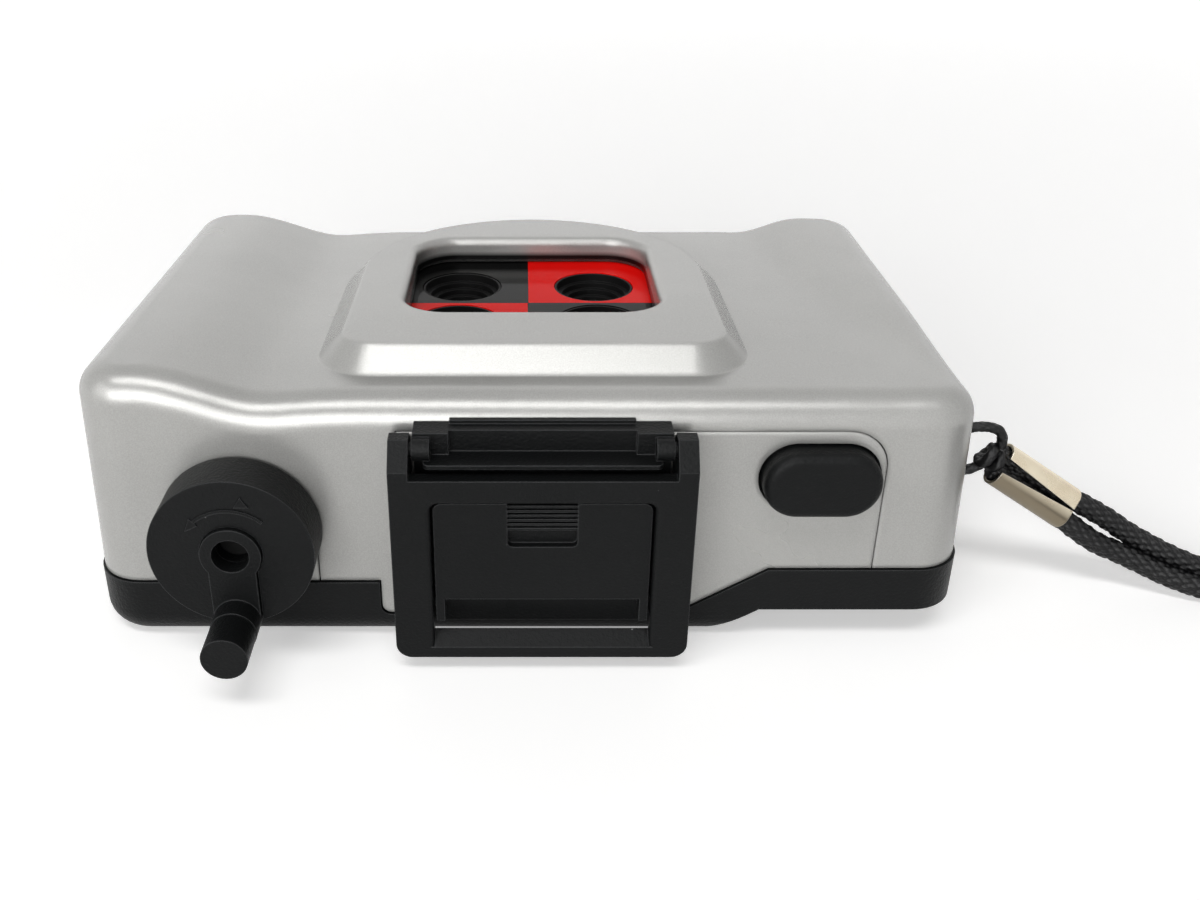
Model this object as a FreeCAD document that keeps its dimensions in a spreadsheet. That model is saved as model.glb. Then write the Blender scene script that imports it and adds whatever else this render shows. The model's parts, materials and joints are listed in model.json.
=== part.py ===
import FreeCAD, Part
import math
import os

import Sketcher
from FreeCAD import Vector

# Compact film camera with four lenses, lying on its back with the lenses up.
# X runs along the body, -Y is the camera's top side and +Y its base, Z is up through the lenses.
# The origin is the middle of the resting back face. Lengths are millimetres, angles degrees.

sizes = {
    "body_width": 100.6,  # end to end at the parting line
    "body_height": 64.5,  # camera top to camera base
    "corner_radius": 5.5,
    "end_taper": 0.6,  # each end draws in by this towards the front
    "front_level": 31.4,  # front face at the camera's top side
    "front_slope": 1.9,  # the front face falls towards the base
    "edge_round": 3.6,
    "shell_wall": 1.8,
    "fit_gap": 0.15,  # line between neighbouring covers
    "ridge_rise": 2.8,  # ridge over the film cassette
    "ridge_peak": 43.0,
    "ridge_foot": 28.0,
    "ridge_fall_radius": 98.0,
    "trough_depth": 0.5,
    "trough_shift": 1.5,
    "trough_reach": 6.0,
    "hump_foot": 32.3,  # swelling over the grip end, at the base side
    "hump_crest": 40.8,
    "hump_rise": 2.3,
    "hump_start": 12.0,
    "hump_foot_sweep": 14.5,
    "hump_foot_bend": 2.2,
    "hump_crest_sweep": 8.0,
    "hump_crest_bend": 1.3,
    "front_margin": 6.0,  # the front surface is drawn this far past the body
    "boss_x": 0.7,  # raised lens surround
    "boss_half": 25.0,
    "boss_start": 6.5,
    "boss_straight": 36.5,  # the far half circle's centre
    "boss_corner": 7.0,
    "boss_root": 1.5,
    "boss_rise": 2.8,
    "boss_slant": 2.8,
    "window_x": 0.6,
    "window_width": 31.8,
    "window_height": 29.0,
    "window_start": 20.0,
    "window_corner": 5.5,
    "window_lip": 0.9,
    "parting_left": 8.1,
    "parting_right": 9.8,
    "ramp_low": 17.2,  # the parting line climbs from here
    "ramp_high": 27.6,
    "tongue_level": 3.6,  # lower edge of the top panel's tongue
    "tongue_left": 17.0,
    "tongue_corner": 1.1,
    "panel_left": 14.4,
    "panel_right": 39.4,
    "panel_level": 27.5,
    "panel_corner": 4.5,
    "panel_wall": 1.8,
    "panel_lap": 1.2,
    "panel_lap_wall": 0.8,
    "door_wall": 1.6,
    "door_floor": 1.6,
    "door_round": 3.4,
    "door_lip": 0.3,
    "thumb_level": 4.15,  # recess for the thumb at the advance wheel
    "thumb_depth": 12.0,
    "thumb_ramp": 20.0,
    "play": 0.3,  # between parts that move past each other
    "slip": 0.05,  # running clearance on a radius
    "pocket_slip": 0.1,
    "format_width": 36.0,
    "format_height": 24.0,
    "format_x": 0.1,
    "format_start": 21.5,  # near edge of the film gate
    "film_level": 5.5,
    "frame_wall": 1.6,
    "chamber_start": 9.8,  # inner faces of the frame's two end walls
    "chamber_inset": 6.1,  # from the base to the frame's far wall
    "frame_low": 2.4,
    "frame_reach": 46.5,
    "bulkhead_level": 18.0,
    "bulkhead_wall": 2.0,
    "gate_level": 5.9,
    "gate_wall": 2.0,
    "partition_x": 19.4,
    "partition_wall": 1.3,
    "gate_right": 19.8,
    "bulkhead_right": 17.5,
    "cassette_high": 26.5,
    "light_way_x": 14.6,
    "light_way_y": 10.9,
    "lever_tab": 3.0,
    "stem_tab": 2.6,
    "post_radius": 2.2,
    "post_left": 16.4,
    "post_right": 12.0,
    "post_near": 12.4,
    "post_far": 9.7,
    "screw_radius": 1.0,
    "screw_head": 1.5,
    "screw_head_height": 1.3,
    "plate_level": 27.7,  # chequered plate, underside
    "plate_wall": 1.3,
    "plate_border": 1.2,
    "inlay_wall": 0.3,
    "inlay_gap": 0.03,
    "lens_pitch_x": 18.0,
    "lens_pitch_y": 12.0,
    "lens_hole": 5.4,
    "barrel_radius": 5.3,
    "barrel_flange": 5.9,
    "barrel_low": 24.2,
    "board_level": 25.6,
    "board_wall": 2.0,
    "board_x": 0.6,
    "board_half_x": 22.2,
    "board_half_y": 18.2,
    "foot_x": 14.6,
    "foot_y": 14.2,
    "foot_radius": 1.5,
    "lens_seat": 24.9,
    "ring_step": 0.7,
    "ring_rise": 0.75,
    "shutter_half_x": 17.2,
    "shutter_half_y": 16.0,
    "slot_outer": 12.6,
    "slot_inner": 9.0,
    "pivot_head": 0.6,
    "board_post_x": 20.0,
    "board_post_y": 9.5,
    "lens_radius": 2.95,
    "lens_curve": 7.5,
    "lens_edge": 0.9,
    "stop_radius": 1.4,
    "shutter_plate_level": 22.9,
    "shutter_plate_wall": 1.0,
    "disc_level": 21.3,
    "disc_wall": 0.8,
    "disc_radius": 14.6,
    "pivot_radius": 1.2,
    "baffle_wall": 1.0,
    "baffle_inset": 0.8,
    "baffle_inset_y": 0.4,
    "divider_up": 1.8,
    "baffle_top": 19.5,
    "baffle_half_x": 12.4,
    "baffle_half_y": 9.0,
    "divider_wall": 0.8,
    "rewind_x": 32.3,
    "rewind_level": 15.6,
    "rewind_shaft": 2.0,
    "cassette_radius": 12.7,
    "crank_radius": 9.1,
    "crank_height": 5.8,
    "crank_gap": 0.5,
    "crank_bore": 2.05,
    "arm_half": 2.6,
    "arm_wall": 1.5,
    "arm_ring": 3.35,
    "arm_ring_rise": 0.5,
    "grip_offset": 8.3,
    "grip_radius": 2.55,
    "grip_collar": 3.0,
    "grip_length": 4.4,
    "grip_pin": 0.9,
    "grip_skin": 0.9,
    "shaft_past": 0.8,
    "fork_half": 0.5,
    "fork_reach": 3.7,
    "collar_radius": 4.0,
    "collar_wall": 1.0,
    "tab_radius": 8.2,
    "button_x": 32.2,
    "button_level": 21.85,
    "button_width": 13.0,
    "button_depth": 7.9,
    "button_corner": 3.9,
    "button_proud": 2.6,
    "button_round": 1.0,
    "button_travel": 1.2,
    "button_flange": 1.0,
    "button_flange_wall": 0.9,
    "stem_x": 27.5,
    "stem_radius": 1.0,
    "stem_end": 10.4,
    "spring_wire": 0.3,
    "lever_x": 19.5,
    "lever_y": 13.2,
    "lever_level": 21.0,
    "lever_wall": 1.4,
    "lever_half": 1.0,
    "lever_pin": 1.0,
    "lever_hub": 2.2,
    "lever_tip_x": 9.6,
    "lever_tip_y": 20.9,
    "finder_x": 1.5,
    "lid_width": 32.7,
    "lid_low": 2.0,
    "lid_high": 25.0,
    "lid_face": 6.3,
    "lid_wall": 1.7,
    "lid_skirt": 1.5,
    "lid_window_half": 12.05,
    "lid_window_low": 3.4,
    "lid_window_high": 22.1,
    "lid_window_corner": 0.9,
    "lid_window_rim": 0.55,
    "lid_corner": 1.8,
    "lid_hinge_level": 27.3,
    "lid_hinge_out": 3.4,
    "ear_wall": 2.15,
    "ear_bevel": 1.3,  # the ear's bevel starts this far below its hinge
    "ear_front": 0.8,
    "ear_back": 0.9,
    "ear_top": 1.5,
    "block_crown": 10.05,
    "block_high": 29.3,
    "block_crown_out": 0.6,
    "block_low": 25.8,
    "block_top": 28.85,
    "block_out": 2.8,
    "ledge_half": 12.7,
    "ledge_top": 26.3,
    "ledge_out": 5.2,
    "ledge_corner": 0.7,
    "knuckle_wall": 1.9,
    "knuckle_radius": 1.25,
    "base_wall": 2.0,
    "base_low": 4.0,
    "lug_wall": 1.3,
    "lug_half": 1.1,
    "eye_radius": 1.1,
    "lid_pin": 0.8,
    "skirt_gap": 0.7,
    "sill_rise": 1.4,
    "sight_low": 9.5,
    "sight_high": 21.85,
    "sight_leg": 0.95,
    "sight_face": 5.6,
    "sight_wall": 1.4,
    "sight_hinge_level": 7.7,
    "sight_hinge_out": 3.3,
    "sight_foot": 1.1,  # the legs end this far below the hinge
    "sight_pin": 0.6,
    "catch_half": 3.8,
    "catch_low": 16.4,
    "catch_corner": 0.6,
    "catch_depth": 0.9,
    "catch_rib": 0.3,
    "rib_start": 0.28,
    "wheel_level": 12.3,
    "wheel_radius": 9.5,
    "wheel_start": 4.4,
    "wheel_wall": 3.5,
    "wheel_notch": 0.45,
    "wheel_slot": 8.1,
    "wheel_shaft": 1.5,
    "spool_radius": 5.0,
    "spool_rib": 0.6,
    "sprocket_x": 24.6,
    "sprocket_level": 11.55,
    "sprocket_radius": 6.05,
    "sprocket_rim": 2.4,
    "sprocket_core": 3.0,
    "tooth_height": 1.1,
    "tooth_half": 0.9,
    "tooth_in": 0.5,
    "cam_radius": 3.1,
    "perforation_offset": 14.1,  # from the film's middle
    "dial_x": 33.0,
    "dial_level": 17.0,
    "dial_radius": 6.6,
    "dial_wall": 1.2,
    "dial_window": 2.0,
    "dial_numbers": 4.4,
    "dial_notch": 0.3,
    "release_x": 12.0,
    "release_level": 15.0,
    "release_radius": 2.5,
    "release_flange": 0.6,
    "release_in": 0.3,
    "hinge_radius": 1.2,
    "hinge_pin": 0.6,
    "hinge_start": 14.0,
    "hinge_knuckle": 10.0,
    "hinge_middle": 18.0,
    "latch_start": 24.0,
    "latch_length": 18.0,
    "latch_travel": 3.0,  # the slot in the end wall leaves room for it
    "latch_wall": 1.0,
    "latch_level": 13.5,
    "latch_tab": 6.0,
    "latch_tab_start": 5.0,
    "latch_tab_height": 2.8,
    "latch_proud": 1.0,
    "pressure_level": 4.3,
    "pressure_wall": 0.8,
    "pressure_half": 18.4,
    "pressure_reach": 15.5,
    "leaf_half": 12.0,
    "leaf_wall": 0.3,
    "leaf_width": 8.0,
    "seal_wall": 0.6,
    "seal_wide": 1.4,
    "seal_deep": 2.2,
    "screw_slot": 0.5,
    "screw_reach": 4.0,
    "screw_hold": 1.0,
    "strap_y": 13.0,
    "strap_level": 18.0,
    "strap_slot": 3.7,
    "strap_opening": 7.2,
    "strap_bar": 3.0,
    "strap_bar_in": 0.6,
    "strap_pocket_deep": 2.5,
    "strap_pocket_wall": 1.0,
    "loop_cord": 1.3,
    "loop_in": 0.2,
    "loop_up": 2.3,
    "loop_high": 3.0,
    "loop_crest": 3.9,
    "loop_out": 4.3,
    "loop_near": 0.8,
    "loop_enter": 2.6,
    "loop_back": 1.9,
    "arc_share": 0.45,
    "wrist_cord": 2.75,
    "clamp_x": 57.3,
    "clamp_depth": 12.3,
    "clamp_z": 16.6,
    "clamp_run": 9.4,
    "clamp_fall": 6.3,
    "clamp_lean_x": -0.58,
    "clamp_lean_y": -0.363,
    "clamp_lean_z": -0.728,
    "clamp_half": 2.8,
    "clamp_round": 1.6,
    "clamp_wall": 0.35,
    "clamp_open": 0.95,
    "clamp_shut": 0.12,
    "clamp_face": 1.0,
    "knot_radius": 1.9,
    "knot_out": 1.6,
    "strand_apart": 1.4,
    "upper_1_x": 74.9,
    "upper_1_y": 11.8,
    "upper_1_z": 7.0,
    "upper_2_x": 82.0,
    "upper_2_y": 9.7,
    "upper_2_z": 4.1,
    "lower_1_x": 73.6,
    "lower_1_y": 10.5,
    "lower_1_z": 4.6,
    "lower_2_x": 81.8,
    "lower_2_y": 7.9,
    "lower_2_z": 1.6,
    "cord_last_run": 9.4,
    "floor_gap": 0.02,
    "coil_x": 99.5,
    "coil_y": 4.45,
    "coil_heading_x": 0.971,
    "coil_heading_y": -0.2385,
    "coil_radius": 16.0,
    "coil_last_radius": 6.0,
    "coil_last_turn": 105.0,
    "bulb_radius": 5.5,
    "bulb_neck": 5.5,
    "coil_gap": 0.55,
}
counts = {
    "front_columns": 38,
    "front_rows": 9,
    "wheel_notches": 36,
    "sprocket_teeth": 8,
    "dial_teeth": 40,
}
counts |= {
    "coil_quarters": 3,
    "bulb_arcs": 4,
    "gap_points": 400,
    "spring_turns": 4,
    "spool_ribs": 4,
    "catch_ribs": 6,
}

doc = FreeCAD.newDocument("camera")
dims = doc.addObject("Spreadsheet::Sheet", "Dims")
for row, (alias, value) in enumerate({**sizes, **counts}.items(), start=1):
    dims.set(f"A{row}", alias)
    dims.set(f"B{row}", str(value))
    dims.setAlias(f"B{row}", alias)

# Places worked out from the driving sizes, as formulas that read them.
places = doc.addObject("Spreadsheet::Sheet", "Places")
formulas = {
    "top": "-Dims.body_height / 2",
    "base": "Dims.body_height / 2",
    "half": "Dims.body_width / 2",
    "format_y": "top + Dims.format_start + Dims.format_height / 2",
    "inside_half": "half - Dims.end_taper - Dims.shell_wall",
    "wall_start": "top + Dims.chamber_start - Dims.frame_wall",
    "chamber_top": "top + Dims.chamber_start",
    "chamber_base": "base - Dims.chamber_inset",
    "wall_end": "chamber_base + Dims.frame_wall",
    "wheel_x": "inside_half - Dims.wheel_radius - Dims.play",
    "rewind_axis": "-Dims.rewind_x",
    "grip_level": "Dims.rewind_level - Dims.grip_offset",
    "crank_face": "top - Dims.crank_height",
    "lever_y_at": "top + Dims.lever_y",
    "clamp_y": "top + Dims.clamp_depth",
    "bar_back": "inside_half - Dims.loop_in",
    "plate_top": "Dims.plate_level + Dims.plate_wall",
    "plate_near": "top + Dims.window_start - Dims.plate_border",
    "plate_far": "top + Dims.window_start + Dims.window_height + Dims.plate_border",
    "board_top": "Dims.board_level + Dims.board_wall",
    "bulkhead_top": "Dims.bulkhead_level + Dims.bulkhead_wall",
    "hinge_x": "half + Dims.door_lip + Dims.pocket_slip * 2 + Dims.hinge_radius",
    "ramp_rise": "(Dims.parting_right - Dims.tongue_level) / (Dims.ramp_high - Dims.ramp_low)",
    "ramp_left": "Dims.ramp_low + (Dims.parting_left - Dims.tongue_level) / ramp_rise",
    "thumb_end": "Dims.thumb_ramp + Dims.thumb_level / ramp_rise",
    "lid_hinge_y": "top - Dims.lid_hinge_out",
    "sight_hinge_y": "top - Dims.sight_hinge_out",
    "base_half": "Dims.lid_width / 2 - Dims.ear_wall - Dims.play",
}
for row, (alias, rule) in enumerate(formulas.items(), start=1):
    places.setAlias(f"B{row}", alias)
for row, (alias, rule) in enumerate(formulas.items(), start=1):
    places.set(f"A{row}", alias)
    places.set(f"B{row}", "=" + rule)
doc.recompute()


def spelled(rule):
    """A rule with each bare alias led by the sheet that holds it."""
    words, word = [], ""
    for letter in str(rule) + " ":
        if letter.isalnum() or letter in "_.":
            word += letter
            continue
        if word in formulas:
            word = "Places." + word
        elif word in sizes or word in counts:
            word = "Dims." + word
        words.append(word + letter)
        word = ""
    return "".join(words).strip()


def number(rule):
    return float(places.evalExpression(spelled(rule)))


def bind(item, prop, rule):
    item.setExpression(prop, spelled(rule))


def settle(item, at):
    for axis, rule in zip("xyz", at):
        bind(item, "Placement.Base." + axis, rule)


def block(name, low, high):
    item = doc.addObject("Part::Box", name)
    for prop, a, b in zip(("Length", "Width", "Height"), low, high):
        bind(item, prop, f"({b}) - ({a})")
    settle(item, low)
    return item


turns = {
    "X": FreeCAD.Rotation(Vector(0, 1, 0), 90),
    "Y": FreeCAD.Rotation(Vector(1, 0, 0), -90),
    "Z": FreeCAD.Rotation(),
}


def rod(name, axis, at, radius, length):
    item = doc.addObject("Part::Cylinder", name)
    item.Placement = FreeCAD.Placement(Vector(), turns[axis])
    bind(item, "Radius", radius)
    bind(item, "Height", length)
    settle(item, at)
    return item


def join(name, parts):
    item = doc.addObject("Part::MultiFuse", name)
    item.Shapes = list(parts)
    item.Refine = True
    return item


def cut(name, base, tools):
    item = doc.addObject("Part::Cut", name)
    item.Base = base
    item.Tool = tools[0] if len(tools) == 1 else join(name + "_tools", tools)
    item.Refine = True
    return item


def common(name, parts):
    item = doc.addObject("Part::MultiCommon", name)
    item.Shapes = list(parts)
    return item


nodes = {}


def node(name, item):
    item.Label = name
    nodes[name] = item
    return item


def feature(name, shape):
    item = doc.addObject("Part::Feature", name)
    item.Shape = shape
    return item


# Sketched pieces: closed outlines of straight lines, held to the sheet point by point.
facing = {"XY": "XY_Plane", "XZ": "XZ_Plane", "YZ": "YZ_Plane"}


def sketched(body, name, plane, outlines, at):
    """A sketch of outlines on one of the body's own planes, moved along its normal to at."""
    sketch = body.newObject("Sketcher::SketchObject", name)
    origin = next(f for f in body.Origin.OriginFeatures if f.Role == facing[plane])
    sketch.AttachmentSupport = [(origin, "")]
    sketch.MapMode = "FlatFace"
    bind(sketch, "AttachmentOffset.Base.z", f"-({at})" if plane == "XZ" else at)
    for loop, outline in enumerate(outlines):
        if isinstance(outline, tuple):
            u, v, radius = outline
            circle = Part.Circle(Vector(number(u), number(v), 0), Vector(0, 0, 1), number(radius))
            g = sketch.addGeometry(circle, False)
            rules = [("DistanceX", u, -1, 1, g, 3), ("DistanceY", v, -1, 1, g, 3)]
            held(sketch, rules, f"c{loop}_")
            c = sketch.addConstraint(Sketcher.Constraint("Radius", g, number(radius)))
            sketch.renameConstraint(c, f"r{loop}")
            bind(sketch, f"Constraints.r{loop}", radius)
            continue
        spots = [Vector(number(u), number(v), 0) for u, v in outline]
        first = sketch.GeometryCount
        for a, b in zip(spots, spots[1:] + spots[:1]):
            sketch.addGeometry(Part.LineSegment(a, b), False)
        last = sketch.GeometryCount - 1
        for g in range(first, last + 1):
            after = first if g == last else g + 1
            sketch.addConstraint(Sketcher.Constraint("Coincident", g, 2, after, 1))
            u, v = outline[g - first]
            rules = [("DistanceX", u, -1, 1, g, 1), ("DistanceY", v, -1, 1, g, 1)]
            held(sketch, rules, f"p{loop}_{g}_")
    return sketch


def held(sketch, rules, lead):
    """Point positions as distances from the sketch's origin, each bound to its rule."""
    for kind, rule, *where in rules:
        c = sketch.addConstraint(Sketcher.Constraint(kind, *where, number(rule)))
        name = lead + kind[-1]
        sketch.renameConstraint(c, name)
        bind(sketch, "Constraints." + name, rule)


def plate(name, plane, outlines, at, thick):
    """A body whose outlines are padded by thick along the plane's normal; on XZ that is towards -Y."""
    body = doc.addObject("PartDesign::Body", name)
    body.Label = name
    sketch = sketched(body, name + "_outline", plane, outlines, at)
    pad = body.newObject("PartDesign::Pad", name + "_pad")
    pad.Profile = sketch
    bind(pad, "Length", thick)
    doc.recompute()
    return body


def pocket(body, name, plane, outlines, at, deep, back=False):
    """Outlines cut out of a body from at, against the plane's normal or, with back, along it."""
    sketch = sketched(body, name + "_outline", plane, outlines, at)
    item = body.newObject("PartDesign::Pocket", name)
    item.Profile = sketch
    bind(item, "Length", deep)
    item.Reversed = back
    doc.recompute()
    return item


def rectangle(x1, y1, x2, y2):
    return [(x1, y1), (x2, y1), (x2, y2), (x1, y2)]


def along(edge, axis):
    """Whether an edge is straight and lies along an axis, 0 for X, 1 for Y, 2 for Z."""
    if edge.Curve.TypeId != "Part::GeomLine":
        return False
    return abs(abs(edge.tangentAt(edge.FirstParameter)[axis]) - 1) < 1e-6


def rounded(body, name, radius, chosen):
    """A fillet on the edges of a body's tip that chosen accepts."""
    tip = body.Tip
    picks = [f"Edge{i}" for i, e in enumerate(tip.Shape.Edges, 1) if chosen(e)]
    item = body.newObject("PartDesign::Fillet", name)
    item.Base = (tip, picks)
    bind(item, "Radius", radius)
    doc.recompute()
    return item


def close(a, b):
    return abs(a - b) < 1e-4


# Outer form of the shell: plan outlines, the front surface and the raised lens surround.
top, base = number("top"), number("base")


def size(alias):
    return float(dims.get(alias))


def plan(half, near, far, corner, level):
    """Rounded rectangle in plan as a wire."""
    right, left = half - corner, corner - half
    low, high = near + corner, far - corner
    bend = corner * math.sqrt(0.5)
    rim = [
        Part.LineSegment(Vector(left, near, level), Vector(right, near, level)),
        Part.Arc(
            Vector(right, near, level),
            Vector(right + bend, low - bend, level),
            Vector(half, low, level),
        ),
        Part.LineSegment(Vector(half, low, level), Vector(half, high, level)),
        Part.Arc(
            Vector(half, high, level),
            Vector(right + bend, high + bend, level),
            Vector(right, far, level),
        ),
        Part.LineSegment(Vector(right, far, level), Vector(left, far, level)),
        Part.Arc(
            Vector(left, far, level),
            Vector(left - bend, high + bend, level),
            Vector(-half, high, level),
        ),
        Part.LineSegment(Vector(-half, high, level), Vector(-half, low, level)),
        Part.Arc(
            Vector(-half, low, level),
            Vector(left - bend, low - bend, level),
            Vector(left, near, level),
        ),
    ]
    return Part.Wire([c.toShape() for c in rim])


def smooth(share):
    share = min(1.0, max(0.0, share))
    return share * share * (3 - 2 * share)


slope = math.tan(math.radians(size("front_slope")))


def front_height(x, y):
    """Height of the front surface, without the lens surround."""
    depth = y - top
    level = size("front_level") - depth * slope
    foot, peak = size("ridge_foot"), size("ridge_peak")
    ridge = size("ridge_rise") * smooth((-foot - x) / (peak - foot))
    beyond = max(0.0, -peak - x)
    ridge -= beyond * beyond / (2 * size("ridge_fall_radius"))
    trough = (x + foot + size("trough_shift")) / size("trough_reach")
    dip = size("trough_depth") * math.exp(-trough * trough)
    start = size("hump_start")
    bend = max(0.0, 1 - max(0.0, depth - start) / (size("body_height") - start))
    hump_left = size("hump_foot") + size("hump_foot_sweep") * bend ** size("hump_foot_bend")
    hump_right = size("hump_crest") + size("hump_crest_sweep") * bend ** size("hump_crest_bend")
    fade = size("hump_rise") * max(0.0, depth) / size("body_height")
    hump = fade * smooth((x - hump_left) / (hump_right - hump_left))
    return level + ridge - dip + hump


def tilted(shape, level=0.0):
    """Turns a shape drawn on the front plane, at the camera's top side, down the front's slope."""
    shape.translate(Vector(0, 0, size("front_level") + level))
    shape.rotate(Vector(0, top, size("front_level") + level), Vector(1, 0, 0), -size("front_slope"))
    return shape


def box_between(low, high):
    """Box from two corners given as rules."""
    a, b = [number(r) for r in low], [number(r) for r in high]
    return Part.makeBox(b[0] - a[0], b[1] - a[1], b[2] - a[2], Vector(*a))


def rod_between(axis, at, radius, length):
    directions = {"X": Vector(1, 0, 0), "Y": Vector(0, 1, 0), "Z": Vector(0, 0, 1)}
    start = Vector(*[number(r) for r in at])
    return Part.makeCylinder(number(radius), number(length), start, directions[axis])


def prism(outline, near, far):
    """Outline in X and Z, as rules, drawn out from near to far along Y."""
    y = number(near)
    spots = [Vector(number(u), y, number(v)) for u, v in outline]
    face = Part.Face(Part.makePolygon(spots + spots[:1]))
    return face.extrude(Vector(0, number(far) - y, 0))


def rounded_prism(half, near, far, corner, low, high):
    return Part.Face(plan(half, near, far, corner, low)).extrude(Vector(0, 0, high - low))


def bent(points, mid_share=0.5):
    """Arc through three points."""
    return Part.Arc(*[Vector(*p) for p in points]).toShape()


def surround(inset, level):
    """Outline of the raised lens surround: square at the near side, a half circle at the far side."""
    x, half = size("boss_x"), size("boss_half") - inset
    near = top + size("boss_start") + inset
    corner = size("boss_corner") - inset
    centre = top + size("boss_straight")
    bend = corner * (1 - math.sqrt(0.5))
    dip = half * math.sqrt(0.5)
    edges = [Part.makeLine((x - half + corner, near, level), (x + half - corner, near, level))]
    right = [(x + half - corner, near), (x + half - bend, near + bend), (x + half, near + corner)]
    edges.append(bent([(u, v, level) for u, v in right]))
    edges.append(Part.makeLine((x + half, near + corner, level), (x + half, centre, level)))
    for side in (1, -1):
        far = [(x + side * half, centre), (x + side * dip, centre + dip), (x, centre + half)]
        edges.append(bent([(u, v, level) for u, v in (far if side > 0 else far[::-1])]))
    edges.append(Part.makeLine((x - half, centre, level), (x - half, near + corner, level)))
    left = [(x - half, near + corner), (x - half + bend, near + bend), (x - half + corner, near)]
    edges.append(bent([(u, v, level) for u, v in left]))
    return Part.Wire(edges)


parting = [
    ("-half * 2", "parting_left"),
    ("ramp_left", "parting_left"),
    ("ramp_high", "parting_right"),
    ("half * 2", "parting_right"),
]
tongue_strip = [
    ("-tongue_left", "tongue_level"),
    ("-panel_left - fit_gap", "tongue_level"),
    ("-panel_left - fit_gap", "parting_left + play"),
    ("-tongue_left", "parting_left + play"),
]
strap_low = "strap_level - strap_opening / 2"
strap_high = "strap_level + strap_opening / 2"
strap_near = "top + strap_y - strap_slot / 2"
strap_far = "top + strap_y + strap_slot / 2"
frame_posts = [("-post_left", "top + post_near"), ("post_right", "top + post_near")]
frame_posts += [("-post_left", "base - post_far"), ("post_right", "base - post_far")]
board_posts = [
    ("board_x + (" + side + ") * board_post_x", "format_y + (" + way + ") * board_post_y")
    for side in ("-1", "1")
    for way in ("-1", "1")
]


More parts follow.
